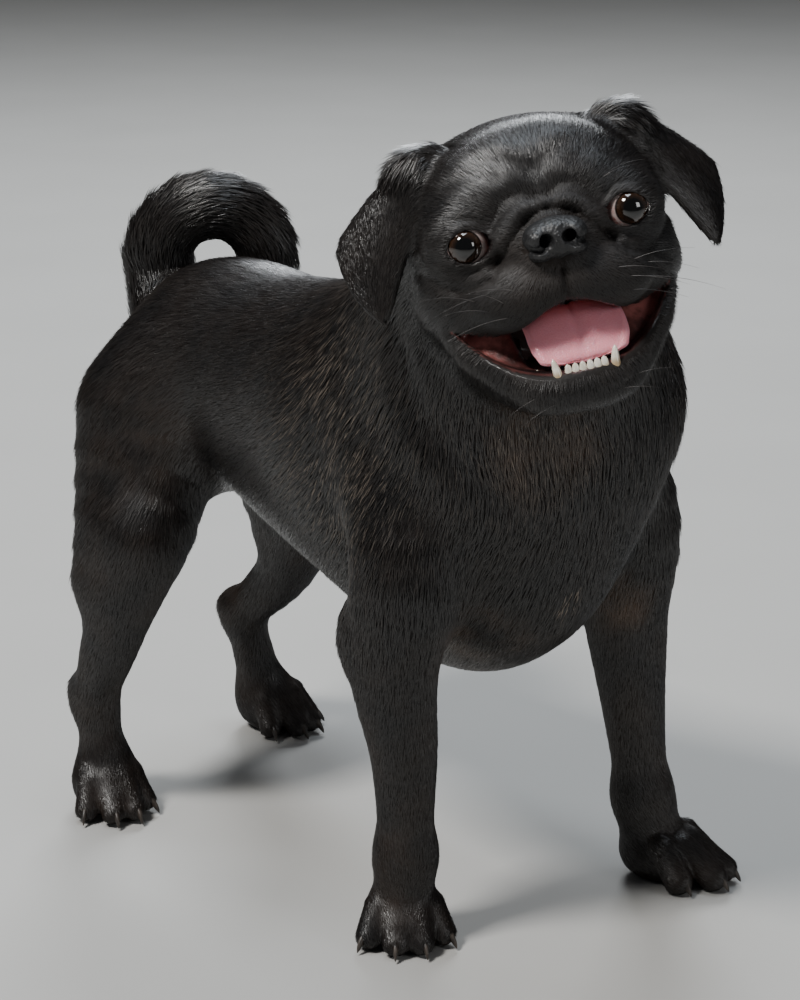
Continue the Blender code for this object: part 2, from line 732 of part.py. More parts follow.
def make_ear(name, side):
    sheet = ear_sheet(side)
    across, down, _ = sheet.shape
    faces = []
    for i in range(across - 1):
        for j in range(down - 1):
            a = i * down + j
            ring = [a, a + down, a + down + 1, a + 1]
            faces.append(ring if side > 0 else ring[::-1])
    middle = pushed_clear(sheet.reshape(-1, 3), EAR_THICK / 2 + .0012)
    ear = new_object(name, middle, faces, COAT)
    wall = ear.modifiers.new("wall", "SOLIDIFY")
    wall.thickness = EAR_THICK
    wall.offset = 0
    settle_modifiers(ear)
    points = pushed_clear([vertex.co for vertex in ear.data.vertices], .0011)
    ear.data.vertices.foreach_set("co", points.ravel())
    return ear


def make_tongue():
    """Broad tongue that arches up from the throat and drops to just behind the lower teeth."""
    columns, half_thick = 7, 2.6
    y = np.array([36, 24, 13, 5, -.5, -3.5, -4.6])[:, None]
    z = np.array([-42, -38.6, -37.2, -40, -46, -51.5, -56.4])[:, None]
    half = np.array([18, 20, 21, 21, 20, 17.5, 13])[:, None]
    rows = len(y)
    droop = np.array([0, 1, 3, 4.5, 3, 0, 0])[:, None]
    u = np.linspace(-1, 1, columns)[None, :]
    middle = np.stack(np.broadcast_arrays(u * half + 2.5, y, z - droop * u ** 4), -1)
    along = np.stack([0 * y, np.gradient(y, axis=0), np.gradient(z, axis=0)], -1)
    upward = np.cross(along, vec(1, 0, 0))
    upward /= np.linalg.norm(upward, axis=-1, keepdims=True)
    top = middle + upward * half_thick
    bottom = middle - upward * half_thick
    points = from_head(np.concatenate([top.reshape(-1, 3), bottom.reshape(-1, 3)]))
    count = rows * columns
    faces = []
    for i in range(rows - 1):
        for j in range(columns - 1):
            a = i * columns + j
            faces.append([a, a + columns, a + columns + 1, a + 1])
            faces.append([count + a, count + a + 1, count + a + columns + 1, count + a + columns])
    rim = [j for j in range(columns)]
    rim += [i * columns + columns - 1 for i in range(1, rows)]
    rim += [(rows - 1) * columns + j for j in range(columns - 2, -1, -1)]
    rim += [i * columns for i in range(rows - 2, 0, -1)]
    for a, b in zip(rim, rim[1:] + rim[:1]):
        faces.append([a, b, count + b, count + a])
    return new_object("tongue", points, faces, TONGUE)


TEETH = [(side * 12.4 + 1.5, -10.5, 7.4, 2.2) for side in (-1, 1)]
TEETH += [(side * x + 1.5, -12.5, 4.2, 1.5) for side in (-1, 1) for x in (1.6, 4.7, 7.8)]


def add_teeth(jaw):
    """Two lower canines and six incisors grow from the jaw."""
    for x, y, height, radius in TEETH:
        root = vec(x, y, -65.5)
        crown = root + vec(x * .05, -.5, height + 2.5)
        tooth = tube("tooth", from_head([root, (root + crown) / 2, crown]),
                     vec(1, 1, .45) * radius * MM, 6, CLAW)
        boolean(jaw, tooth, "UNION")


def claw_path(paw, knuckle, tip):
    """From just off the toe's end, forward and down, but not to the floor."""
    forward = tip - knuckle
    forward[2] = 0
    forward /= np.linalg.norm(forward)
    start = tip + forward * .0050 + vec(0, 0, .0016)
    for _ in range(60):
        if flesh(start[None])[0] > CLAW_RADIUS * .8:
            break
        start = start + forward * .0002
    return [start, start + forward * CLAW_LENGTH * .55 - vec(0, 0, .0020),
            start + forward * CLAW_LENGTH * .95 - vec(0, 0, .0062)]


def make_claws():
    for place, paw in PAWS.items():
        for number, (knuckle, tip) in enumerate(toe_ends(paw), 1):
            tube(f"claw_{place}_{number}", claw_path(paw, knuckle, tip),
                 vec(1, .8, .3) * CLAW_RADIUS, 6, CLAW)


def main():
    pieces = make_flesh()
    for name, side in (("ear_left", 1), ("ear_right", -1)):
        make_ear(name, side)
    for name, side in (("eye_left", 1), ("eye_right", -1)):
        ball(name, eye_middle(side), np.full(3, EYE_RADIUS), HEAD_AXES, EYE)
    nose_shape("nose", 0)
    make_tongue()
    add_teeth(pieces["lower_jaw"])
    make_claws()
    for made in bpy.context.scene.objects:
        made.data.transform(Matrix.Translation((*TO_BOX_MIDDLE, 0)))


if __name__ == "__main__":
    main()
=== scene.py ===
# %% [markdown]
# # A black pug, life size
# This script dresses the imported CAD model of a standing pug. The CAD part gives the size and the
# outline out to the tips of the hair. Here one skin takes the place of all the pieces of flesh, and
# a coat of short tufts lies over it. Eyes, nose, tongue, teeth and claws are pieces of their own.
# Every piece stays in the frame of the CAD model, so nothing has to be fitted by hand.

# %% Load the CAD frame
import json
import math

import bpy
import numpy as np
from mathutils import Matrix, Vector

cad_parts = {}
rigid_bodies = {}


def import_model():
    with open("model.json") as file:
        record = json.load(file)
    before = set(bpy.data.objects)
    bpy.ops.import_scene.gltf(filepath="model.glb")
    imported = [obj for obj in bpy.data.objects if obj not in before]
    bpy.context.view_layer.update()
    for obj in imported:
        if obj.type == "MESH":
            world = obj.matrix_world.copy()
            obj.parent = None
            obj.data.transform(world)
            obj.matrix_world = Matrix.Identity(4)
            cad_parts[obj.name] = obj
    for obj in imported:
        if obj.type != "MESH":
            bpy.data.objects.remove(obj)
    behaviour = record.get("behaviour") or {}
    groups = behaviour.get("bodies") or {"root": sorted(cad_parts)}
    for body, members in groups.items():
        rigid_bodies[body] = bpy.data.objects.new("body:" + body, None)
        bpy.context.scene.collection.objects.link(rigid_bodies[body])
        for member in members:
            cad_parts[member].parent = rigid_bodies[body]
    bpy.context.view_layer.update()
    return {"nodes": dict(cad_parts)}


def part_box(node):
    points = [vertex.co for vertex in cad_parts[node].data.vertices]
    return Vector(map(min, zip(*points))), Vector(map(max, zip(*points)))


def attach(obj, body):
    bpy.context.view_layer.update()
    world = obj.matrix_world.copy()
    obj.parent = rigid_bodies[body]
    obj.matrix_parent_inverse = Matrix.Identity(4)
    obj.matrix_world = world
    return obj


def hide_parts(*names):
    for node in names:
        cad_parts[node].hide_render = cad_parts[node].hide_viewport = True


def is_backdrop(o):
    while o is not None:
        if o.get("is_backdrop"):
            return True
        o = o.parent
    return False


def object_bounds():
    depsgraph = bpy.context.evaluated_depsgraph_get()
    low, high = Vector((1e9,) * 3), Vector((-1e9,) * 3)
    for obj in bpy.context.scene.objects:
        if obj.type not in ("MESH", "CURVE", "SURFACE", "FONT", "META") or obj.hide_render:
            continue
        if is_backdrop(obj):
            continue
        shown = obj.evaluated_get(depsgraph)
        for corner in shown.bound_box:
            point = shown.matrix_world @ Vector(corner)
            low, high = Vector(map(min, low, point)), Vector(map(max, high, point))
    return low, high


for old in list(bpy.data.objects):
    bpy.data.objects.remove(old, do_unlink=True)
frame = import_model()

MM = 0.001
RANDOM = np.random.default_rng(7)


# %% [markdown]
# ## Measuring in space
# A body without edges is easiest to describe by a distance field: a function that says for any
# point how far it is from the surface, below zero inside. Two such bodies melt together when the
# smaller distance is taken and the crease is rounded, which is how muscles run into each other
# under a skin. The CAD model was made from the same functions, so the skin fits inside it.

# %% Distances
def vec(*values):
    return np.array(values, float)


def lengths(rows):
    return np.sqrt((rows * rows).sum(-1))


def unit(rows):
    return rows / (lengths(rows)[..., None] + 1e-12)


def smooth(value, low, high):
    """0 below low, 1 above high, and the curve 3t^2 - 2t^3 between them."""
    t = np.clip((value - low) / (high - low), 0, 1)
    return t * t * (3 - 2 * t)


def join(a, b, reach):
    """Union of two bodies: the smaller distance, less h^2 * reach / 4 where they are close."""
    h = np.maximum(reach - np.abs(a - b), 0.0) / reach
    return np.minimum(a, b) - h * h * reach / 4


def carve(a, b, reach):
    """a without b, its rim rounded in the same way."""
    return -join(-a, b, reach)


def egg(points, middle, radii, axes=None):
    """Distance, nearly, to an ellipsoid: k0 (k0 - 1) / k1 with k0 = |q / r| and k1 = |q / r^2|."""
    q = points - middle
    if axes is not None:
        q = q @ axes
    a = q / radii
    k0 = lengths(a) + 1e-9
    k1 = lengths(a / radii) + 1e-9
    return k0 * (k0 - 1) / k1


def smooth_path(points, radii, per_span):
    """Catmull-Rom curve through the points, which carries the radii with it."""
    rows = np.column_stack([np.asarray(points, float), radii])
    rows = np.vstack([2 * rows[0] - rows[1], rows, 2 * rows[-1] - rows[-2]])
    t = np.linspace(0, 1, per_span, endpoint=False)[:, None]
    spans = []
    for p0, p1, p2, p3 in zip(rows, rows[1:], rows[2:], rows[3:]):
        spans.append(0.5 * (2 * p1 + (p2 - p0) * t + (2 * p0 - 5 * p1 + 4 * p2 - p3) * t ** 2
                            + (3 * p1 - p0 - 3 * p2 + p3) * t ** 3))
    spans.append(rows[-2:-1])
    rows = np.vstack(spans)
    return rows[:, :-1], rows[:, -1]


def limb(points, path, radii, per_span=5, flat=None, squeeze=1.0):
    """Distance to a round tapered body along a path, thinner by squeeze in the direction flat."""
    path, radii = smooth_path(path, radii, per_span)
    out = np.full(len(points), 9.0e3)
    for a, b, ra, rb in zip(path, path[1:], radii, radii[1:]):
        span = b - a
        q = points - a
        h = np.clip((q @ span) / (span @ span), 0, 1)
        off = q - h[:, None] * span
        if flat is not None:
            off = off + np.outer((off @ flat) * (1 / squeeze - 1), flat)
        out = np.minimum(out, lengths(off) - (ra + (rb - ra) * h))
    return out


FAR = 0.05


def within(points, middle, radius, field, *given):
    """The field where it matters, inside a sphere, and a plain FAR outside it."""
    out = np.full(len(points), FAR)
    close = lengths(points - middle) < radius
    if close.any():
        out[close] = field(points[close], *given)
    return out


# %% [markdown]
# ## Pose
# The head is turned to the pug's right and tilted, so it gets axes of its own. All face
# dimensions are in millimetres left, back and up from the point midway between the eyes. That
# point is measured on the CAD eyeballs, and the difference between it and the place where the
# formulas put it is the shift from the formulas' frame to the CAD frame.

# %% Axes of the head and the shift to the CAD frame
EYE_APART, EYE_DEEP, EYE_RADIUS = 0.0365, 0.0105, 0.0115
EYES_MIDDLE = vec(-0.0608, -0.1755, 0.3662)
HEAD_TURN, HEAD_RAISE, HEAD_TILT = 34.0, 8.0, 12.1


def turned_axes(turn, lift=0.0, tilt=0.0):
    """Left, back and up of something that faces -Y, turned to its right, lifted and tilted."""
    a, b, c = (math.radians(-v) for v in (turn, lift, tilt))
    about_z = np.array([[math.cos(a), -math.sin(a), 0], [math.sin(a), math.cos(a), 0], [0, 0, 1]])
    about_x = np.array([[1, 0, 0], [0, math.cos(b), -math.sin(b)], [0, math.sin(b), math.cos(b)]])
    about_y = np.array([[math.cos(c), 0, math.sin(c)], [0, 1, 0], [-math.sin(c), 0, math.cos(c)]])
    return about_z @ about_x @ about_y


HEAD_AXES = turned_axes(HEAD_TURN, HEAD_RAISE, HEAD_TILT)


def to_head(points):
    """Millimetres left, back and up from the point between the eyes."""
    return (points - EYES_MIDDLE) @ HEAD_AXES / MM


def from_head(points):
    return np.asarray(points, float) * MM @ HEAD_AXES.T + EYES_MIDDLE


def mirrored(points):
    """The left half's coordinates of points on either side of the head."""
    out = points.copy()
    out[:, 0] = np.abs(out[:, 0])
    return out


def node_middle(node):
    low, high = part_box(node)
    return (np.array(low) + np.array(high)) / 2


cad_eyes = (node_middle("eye_left") + node_middle("eye_right")) / 2
SHIFT = cad_eyes - from_head([0, EYE_DEEP / MM, 0])
SHIFT[2] = 0
print("shift to the CAD frame, mm", (SHIFT / MM).round(2))


# %% [markdown]
# ## The flesh of the body
# These are the body's masses as the CAD model has them: ribs, deep brisket, neck with its ruff,
# legs, paws and the curled tail.

# %% Trunk, neck and tail
def trunk(p):
    """Ribs, deep brisket, forechest, belly and croup."""
    d = egg(p, vec(0, -.010, .226), vec(.073, .114, .076))
    d = join(d, egg(p, vec(0, -.058, .196), vec(.058, .076, .075)), .025)
    d = join(d, egg(p, vec(0, -.092, .222), vec(.066, .050, .066)), .025)
    d = join(d, egg(p, vec(0, .070, .236), vec(.060, .100, .060)), .025)
    return join(d, egg(p, vec(0, .134, .236), vec(.054, .064, .060)), .025)


NECK_PATH = [vec(0, -.030, .240), vec(-.008, -.080, .286), vec(-.022, -.116, .335)]


def neck(p):
    """Thick neck from the shoulders to the back of the skull, with the ruff at the throat."""
    d = limb(p, NECK_PATH, [.073, .071, .058], 8)
    return join(d, egg(p, vec(.004, -.106, .262), vec(.074, .053, .056)), .03)


def tail_path(t):
    """Middle line of the curl: an arc over the croup towards the left hip, t from 0 to 1."""
    turn = np.radians(205 - 270 * t)
    rise = .0262 - .010 * np.clip(t - .62, 0, 1)
    return np.stack([.0165 + .0200 * np.cos(turn) + .005 * t,
                     .1795 - .0152 * np.cos(turn) - .012 * t,
                     .2890 + rise * np.sin(turn)], -1)


TAIL_STEPS = np.linspace(0, 1, 14)
TAIL_LINE = np.vstack([vec(-.004, .182, .258), tail_path(TAIL_STEPS)])


def tail(p):
    return limb(p, TAIL_LINE, np.concatenate([[.023], .0208 - .0045 * TAIL_STEPS ** 2]), 1)


# %% Legs: side is 1 for the left leg and -1 for the right
FRONT_LEG = {
    1: [(.040, -.050, .266), (.066, -.090, .204), (.077, -.086, .142), (.082, -.088, .092),
        (.086, -.092, .044)],
    -1: [(-.040, -.045, .266), (-.064, -.086, .204), (-.068, -.080, .144), (-.062, -.080, .096),
         (-.060, -.079, .046)],
}
FRONT_LEG_RADII = [.030, .030, .0235, .0180, .0142]
HIND_LEG = {    # hip, stifle, calf, hock, point of the hock, foot
    1: [(.030, .152, .225), (.062, .142, .160), (.069, .176, .106), (.062, .210, .070),
        (.061, .220, .073), (.073, .206, .022)],
    -1: [(-.030, .142, .225), (-.064, .128, .160), (-.072, .144, .106), (-.072, .165, .062),
         (-.072, .175, .066), (-.069, .160, .022)],
}


def front_leg(p, side):
    d = limb(p, FRONT_LEG[side], FRONT_LEG_RADII)
    elbow = vec(*FRONT_LEG[side][2]) + vec(side * .004, .012, .012)
    return join(d, egg(p, elbow, vec(.017, .017, .022)), .012)


def hind_leg(p, side):
    hip, knee, calf, hock, heel, foot = (vec(*q) for q in HIND_LEG[side])
    thigh = limb(p, [hip, knee], [.044, .024], flat=vec(1, 0, 0), squeeze=.85)
    back = limb(p, [hip + vec(side * .012, .014, -.010), calf + vec(0, .003, .03)], [.037, .021])
    shin = limb(p, [knee, calf, hock], [.023, .0185, .0130])
    below = limb(p, [heel, hock, foot], [.009, .0125, .0120])
    return join(join(join(thigh, back, .02), shin, .02), below, .010)


# %% Paws
PAWS = {    # where the ankle stands over the floor, which way the toes point, their reach, breadth
    "front_left": dict(at=(.0895, -.0910), turn=-22.0, reach=.0480, breadth=.94,
                       ankle=(.086, -.092, .044)),
    "front_right": dict(at=(-.0555, -.0705), turn=33.0, reach=.0350, breadth=.88,
                        ankle=(-.060, -.079, .046)),
    "hind_left": dict(at=(.0750, .2090), turn=-12.0, reach=.0380, breadth=.82,
                      ankle=(.073, .206, .022)),
    "hind_right": dict(at=(-.0690, .1640), turn=14.0, reach=.0385, breadth=.82,
                       ankle=(-.069, .160, .022)),
}
TOE_OFFSETS = (-.0178, -.0062, .0062, .0178)
TOE_REACHES = (.72, 1.0, 1.0, .72)


def paw_point(paw, left, forward, up):
    """Place of a point given from the paw's own ankle."""
    return vec(*paw["at"], 0) + turned_axes(paw["turn"]) @ vec(left * paw["breadth"], -forward, up)


def toe_ends(paw):
    """Knuckle and tip of each of the four toes."""
    for offset, reach in zip(TOE_OFFSETS, TOE_REACHES):
        tip = paw["reach"] * reach
        knuckle = paw_point(paw, offset * .80, tip * .45, .0200)
        yield knuckle, paw_point(paw, offset * 1.12, tip - .008, .0070)


def paw_shape(p, paw):
    b = paw["breadth"]
    d = limb(p, [vec(*paw["ankle"]), paw_point(paw, 0, .004, .018)], [.0145 * b, .0165 * b])
    middle = paw_point(paw, 0, paw["reach"] * .28, .0118)
    pad = egg(p, middle, vec(.0190 * b, .021, .0130), turned_axes(paw["turn"]))
    d = join(d, pad, .016)
    for knuckle, tip in toe_ends(paw):
        d = join(d, limb(p, [knuckle, tip], [.0086 * b, .0086 * b]), .0024)
    return d


# %% [markdown]
# ## The head
# A pug's skull is a round box: broad forehead, cheeks that hang down, a very short muzzle with
# a roll of skin over the nose, and an undershot jaw. The skin adds what the CAD solids leave out,
# the folds. Each fold is a line on the face, seen from the front, along which the surface is
# pushed in by a bell curve.

# %% Skull, muzzle and jaw
LID_THICK = 2.0


def head(p):
    """Skull, forehead, cheeks, eye mounds, muzzle with its nose roll, and lower jaw."""
    w = mirrored(to_head(p))
    d = egg(w, vec(0, 53, 7), vec(57, 54, 41))
    d = join(d, egg(w, vec(0, 28, 14.5), vec(47, 27, 30)), 12)
    d = join(d, egg(w, vec(29, 38, -25), vec(31.5, 35, 30)), 14)
    d = join(d, egg(w, vec(24, 30, -2), vec(31, 27, 30)), 10)
    d = join(d, egg(w, vec(37, 14, 1), vec(16, 13, 15)), 8)
    d = join(d, egg(w, vec(0, 7, -23), vec(37, 25, 17)), 9)
    d = join(d, egg(w, vec(0, 1, -8), vec(21, 17, 15)), 7)
    d = join(d, egg(w, vec(13, 1, -3), vec(12, 12.5, 11)), 5)
    d = join(d, egg(w, vec(0, -2.5, 4.5), vec(11, 9.5, 6.5)), 3)
    d = join(d, egg(w, vec(0, -6.0, -12.5), vec(15.5, 13, 7.5)), 4)
    d = join(d, egg(w, vec(18.5, 2.5, -26.5), vec(22.5, 18.5, 15.5)), 8)
    jaw = egg(w, vec(0, 15, -66), vec(33, 27, 15))
    lip = [vec(0, -9, -68), vec(15, -7, -67.5), vec(28, 1, -62), vec(38, 11, -52), vec(46, 22, -42)]
    jaw = join(jaw, limb(w, lip, [6.5, 6.5, 6.5, 6, 5]), 8)
    jaw = join(jaw, egg(w, vec(0, 2, -71), vec(25, 16, 10)), 8)
    jaw = join(jaw, egg(w, vec(0, 42, -50), vec(50, 40, 30)), 18)
    d = join(d, jaw, 5)
    roll = [vec(0, -5.5, 11.5), vec(12, -5, 8.5), vec(23, -2.5, -.5), vec(30, 1, -8)]
    d = join(d, limb(w, roll, [3.4, 3.6, 3.2, 2.0]), 6)
    lid = lengths(w - vec(EYE_APART, EYE_DEEP, 0) / MM) - (EYE_RADIUS / MM + LID_THICK)
    d = join(d, lid, 3.5)
    return (d + folds(w)) * MM


# %% Folds of the face
FOLDS = [   # (x, z) points in mm, depth, half width: x is the distance from the middle of the face
    ([(0, 8.4), (7, 6.8), (12, 3.5), (20.5, -5), (27, -13)], 1.7, 1.2),     # crease over the nose
    ([(29, -15), (35.5, -20), (43.5, -27), (50, -34)], 1.4, 1.8),       # beside the muzzle
    ([(0, 18), (0, 27), (1, 38)], 2.4, 7.5),                            # hollow between the brows
    ([(2, 24), (12, 30), (22, 31)], 1.3, 4.0),                          # hollow under the crown
    ([(3, 14), (9, 17), (17, 15), (22, 9)], 1.3, 2.4),                      # inner end of the brow
    ([(24, 5), (29, 9.5), (36, 11), (43, 9.5), (48, 4)], 1.1, 1.5),         # over the upper lid
    ([(24, -6), (28, -9), (35, -11), (43, -9), (49, -3)], .9, 1.6),        # under the lower lid
    ([(31, -16), (36, -18), (42, -19), (51, -14), (56, -6)], 1.2, 2.2),     # cheek under the eye
    ([(44, -20), (52, -28), (55, -38), (52, -48)], 1.3, 2.6),               # cheek behind the mouth
    ([(16, 24), (26, 27), (36, 25), (46, 19)], 1.0, 3.0),                   # above the brow
    ([(0, -12), (0, -22), (0, -33)], 3.0, 1.3),                         # split of the upper lip
    ([(4, -71.5), (16, -71), (28, -66), (36, -58)], 1.0, 1.6),              # under the lower lip
]


def folds(w):
    """How far the face is pushed in, mm: depth * exp(-(distance to the line / half width)^2)."""
    seen = np.column_stack([w[:, 0], w[:, 2]])
    out = np.zeros(len(w))
    front = w[:, 1] < 48
    for line, depth, half in FOLDS:
        off = limb(seen[front], line, np.zeros(len(line)), 4)
        out[front] += depth * np.exp(-(off / half) ** 2)
    return out * (1 - smooth(w[:, 1], 34, 48))


# %% Mouth and eye openings
def lip_heights(x):
    """Edges of the hanging upper lip and of the lower lip at a distance x from the middle."""
    upper = -31.5 - 11.2 * smooth(x, 2, 30) + .35 * np.maximum(x - 31, 0)
    return upper, -61.0 + 22.5 * (x / 47) ** 2.8


def mouth(p):
    """The open mouth: between the lips, and back to the throat."""
    x, y, z = to_head(p).T
    x = np.abs(x)
    upper, lower = lip_heights(x)
    behind_lip = np.clip((y + 5 - 22 * (x / 40) ** 2) / 7, 0, 1)
    upper = upper + np.maximum(-31 - upper, 0) * behind_lip * (3 - 2 * behind_lip) * behind_lip
    shelf = lower + 1.15 * np.maximum(y + 6 - 26 * (x / 42) ** 2, 0) * smooth(x, 19, 27)
    d = np.maximum(z - upper, shelf - z)
    wall = 50 - 25 * np.clip((y - 20) / 14, 0, 1)
    d = np.maximum(np.maximum(d, x - wall), y - 46)
    return d * MM * .75


EYE_OPENING, EYE_HALF_WIDTH, EYE_HALF_HEIGHT = vec(35.2, 0, -.2), 10.0, 7.1


def eye_gap(p):
    """What the lids leave open: where two round arcs overlap, out to the front."""
    x, y, z = (mirrored(to_head(p)) - EYE_OPENING).T
    arc = (EYE_HALF_WIDTH ** 2 + EYE_HALF_HEIGHT ** 2) / (2 * EYE_HALF_HEIGHT)
    d = np.maximum(np.hypot(x, z + arc - EYE_HALF_HEIGHT), np.hypot(x, z - arc + EYE_HALF_HEIGHT)) - arc
    return np.maximum(d, y - 8) * MM


# %% [markdown]
# ## Ears
# A button ear rises from the skull, folds over and hangs down to a rounded point. It is a sheet,
# a function of u across and v from base to tip. The distance to it is the least distance to its
# triangles, and half the ear's thickness is taken off that.

# %% The ear as a sheet
EAR_TIP = vec(76, 31, -27)


def ear_sheet(side, across=7, down=13):
    """base + (fold - base) v below the fold, then fold + (tip - fold) v, with a crown at the fold."""
    u = np.linspace(0, 1, across)[:, None, None]
    v = np.linspace(0, .97, down)[None, :, None]
    fold_at = .36
    base = vec(36, 36, 41) + vec(14, 38, -13) * u
    fold_front, fold_back = vec(45, 32, 41.5), vec(86.5, 60, 9)
    fold = fold_front + (fold_back - fold_front) * u + vec(2, 12, 10) * u * (1 - u)
    rise = np.clip(v / fold_at, 0, 1)
    drop = np.clip((v - fold_at) / (1 - fold_at), 0, 1)
    up = base + (fold - base) * rise + vec(0, 0, 5) * rise * (1 - rise)
    middle = .45 * fold_front + .55 * fold_back
    down_part = middle + (EAR_TIP - middle) * drop + (fold - middle) * (1 - drop ** 1.7)
    belly = vec(.55, -.62, .25) * 5.0 * np.sin(np.pi * drop) * np.sin(np.pi * np.clip(u, 0, 1))
    sheet = np.where(drop > 0, down_part + belly, up) * vec(side, 1, 1)
    return sheet


def triangle_distance(p, a, b, c):
    """Least distance to a triangle: to its plane over its inside, or else to its nearest side."""
    sides = ((b - a, p - a), (c - b, p - b), (a - c, p - c))
    normal = np.cross(b - a, c - a)
    over = np.ones(len(p), bool)
    nearest = np.full(len(p), 1e9)
    for edge, from_corner in sides:
        over &= from_corner @ np.cross(normal, edge) >= 0
        h = np.clip((from_corner @ edge) / (edge @ edge), 0, 1)
        off = from_corner - h[:, None] * edge
        nearest = np.minimum(nearest, (off * off).sum(1))
    plane = ((p - a) @ normal) ** 2 / (normal @ normal)
    return np.sqrt(np.where(over, plane, nearest))


EAR_TRIANGLES = []
for row in range(6):
    for column in range(12):
        sheet = ear_sheet(1)
        a, b = sheet[row, column], sheet[row + 1, column]
        c, d = sheet[row + 1, column + 1], sheet[row, column + 1]
        EAR_TRIANGLES += [(a, b, c), (a, c, d)]
EAR_LOW = ear_sheet(1).reshape(-1, 3).min(0) - 9
EAR_HIGH = ear_sheet(1).reshape(-1, 3).max(0) + 9


def ear(p, half_thick):
    """Distance to either ear, mm turned to metres, FAR away from both."""
    w = mirrored(to_head(p))
    out = np.full(len(p), FAR)
    near = ((w > EAR_LOW) & (w < EAR_HIGH)).all(1)
    if near.any():
        q = w[near]
        best = np.full(len(q), 1e9)
        for corners in EAR_TRIANGLES:
            best = np.minimum(best, triangle_distance(q, *corners))
        out[near] = (best - half_thick) * MM
    return out


# %% [markdown]
# ## One skin
# On a real animal no seam runs round a leg or behind an ear. All the masses above are therefore
# joined into one field, and the coat's depth is taken off it, because the CAD outline runs to the
# tips of the hair: about 2 mm on the body, less than 1 mm on face and feet, more on the tail.
# The lips, the lids and the gums are part of this skin too.

# %% Field of the skin
GUM = [vec(0, -10.5, -64), vec(9, -9, -64), vec(17, -2, -63.5), vec(23, 10, -62), vec(25, 24, -60)]


def ear_root(p):
    """Muscle and skin that fill the arch under the ear's base."""
    return egg(mirrored(to_head(p)), vec(45, 46, 33), vec(14, 17, 11)) * MM


def parts_of(p):
    """Distance to each mass of the body by name, for the skin and for the lie of the coat."""
    sole = {name: within(p, paw_point(paw, 0, .010, .020), .075, paw_shape, paw)
            for name, paw in PAWS.items()}
    return {
        "trunk": trunk(p),
        "neck": within(p, vec(-.010, -.080, .285), .175, neck),
        "front_1": within(p, vec(.068, -.080, .155), .165, front_leg, 1),
        "front_-1": within(p, vec(-.068, -.080, .155), .165, front_leg, -1),
        "hind_1": within(p, vec(.060, .165, .130), .165, hind_leg, 1),
        "hind_-1": within(p, vec(-.060, .165, .130), .165, hind_leg, -1),
        "tail": within(p, vec(.015, .180, .285), .090, tail),
        "head": within(p, from_head([0, 45, -18]), .135, head),
        **sole,
    }


CREASES = [   # points on the body in m, depth and half width in mm
    ([(-.083, -.092, .311), (-.080, -.106, .279), (-.074, -.119, .262), (-.066, -.130, .246),
      (-.054, -.140, .230)], 5.0, 7.0),                     # from behind the right cheek to the chest
    ([(.064, -.092, .300), (.076, -.100, .270), (.074, -.114, .246), (.060, -.130, .226)], 4.5, 7.0),
    ([(-.094, .045, .262), (-.098, .052, .225), (-.094, .060, .190)], 2.0, 9.0),    # before the thigh
    ([(-.090, -.010, .290), (-.096, -.012, .245), (-.092, -.030, .205)], 2.0, 8.0), # behind the shoulder
    ([(.090, -.010, .290), (.096, -.012, .245), (.092, -.030, .205)], 2.0, 8.0),
]


def creases(p):
    """How far the body is pushed in: the same bell curve about lines in space."""
    out = np.zeros(len(p))
    for line, depth, half in CREASES:
        off = limb(p, line, np.zeros(len(line)))
        out += depth * MM * np.exp(-(off / (half * MM)) ** 2)
    return out


def skin(p):
    """The whole body under its coat, below zero inside."""
    part = parts_of(p)
    d = join(part["trunk"], part["neck"], .035)
    for side in (-1, 1):
        d = join(d, part[f"front_{side}"], .014)
        d = join(d, part[f"hind_{side}"], .017)
    d = join(d, part["tail"], .008)
    for name in PAWS:
        d = join(d, part[name], .014)
    d = join(d, part["head"], .009)
    face = 1 - smooth(part["head"], .002, .020)
    brush = 1 - smooth(part["tail"], 0, .010)
    foot = 1 - smooth(p[:, 2], .030, .075)
    depth = 2.2 + 1.2 * brush
    depth += (.8 - depth) * np.maximum(face, foot)
    d = d + depth * MM + creases(p)
    d = join(d, within(p, from_head([0, 45, 5]), .110, ear_root), .008)
    d = join(d, within(p, from_head([0, 45, 5]), .110, ear, 1.5), .006)
    d = carve(d, within(p, from_head([0, 10, -40]), .085, mouth), .0025)
    d = carve(d, within(p, from_head([0, 0, 0]), .060, eye_gap), .0012)
    gum = within(p, from_head([0, 5, -62]), .045,
                 lambda q: limb(mirrored(to_head(q)), GUM, [2.9, 2.9, 2.9, 2.9, 2.9]) * MM)
    return np.maximum(join(d, gum, .002), -p[:, 2])


# %% [markdown]
# ## From field to mesh
# A surface net turns a field into a mesh. Space is cut into small cells, each cell that the
# surface crosses gets one point at the mean of the crossings on its edges, and each crossed edge
# gets one quad between the four cells around it. The field is worked out on a coarse grid
# first, and finely only close to the surface, which saves most of the time.

# %% Surface net
def values_at(field, points, block=16384):
    """The field block by block, which keeps the arrays small."""
    return np.concatenate([field(points[i:i + block]) for i in range(0, len(points), block)])


def refined(values, counts):
    """A grid's values spread to twice as many steps, each taken from its nearest known place."""
    nearest = [np.minimum(np.arange(counts[i]) // 2, values.shape[i] - 1) for i in range(3)]
    return values[np.ix_(*nearest)]


def grid_values(field, low, counts, step, levels=2):
    """The field on a grid: everywhere at the coarsest step, then each finer step near zero."""
    sizes = [counts]
    for _ in range(levels):
        sizes.append((sizes[-1] + 1) // 2 + 1)
    coarse = step * 2 ** levels
    axes = [low[i] + coarse * np.arange(sizes[-1][i]) for i in range(3)]
    rough = np.stack(np.meshgrid(*axes, indexing="ij"), -1).reshape(-1, 3)
    values = values_at(field, rough).reshape(sizes[-1])
    for level in range(levels - 1, -1, -1):
        fine = step * 2 ** level
        values = refined(values, sizes[level])
        near = np.abs(values) < (4.4 if level else 4.0) * fine
        values[near] = values_at(field, low + fine * np.argwhere(near))
    return values


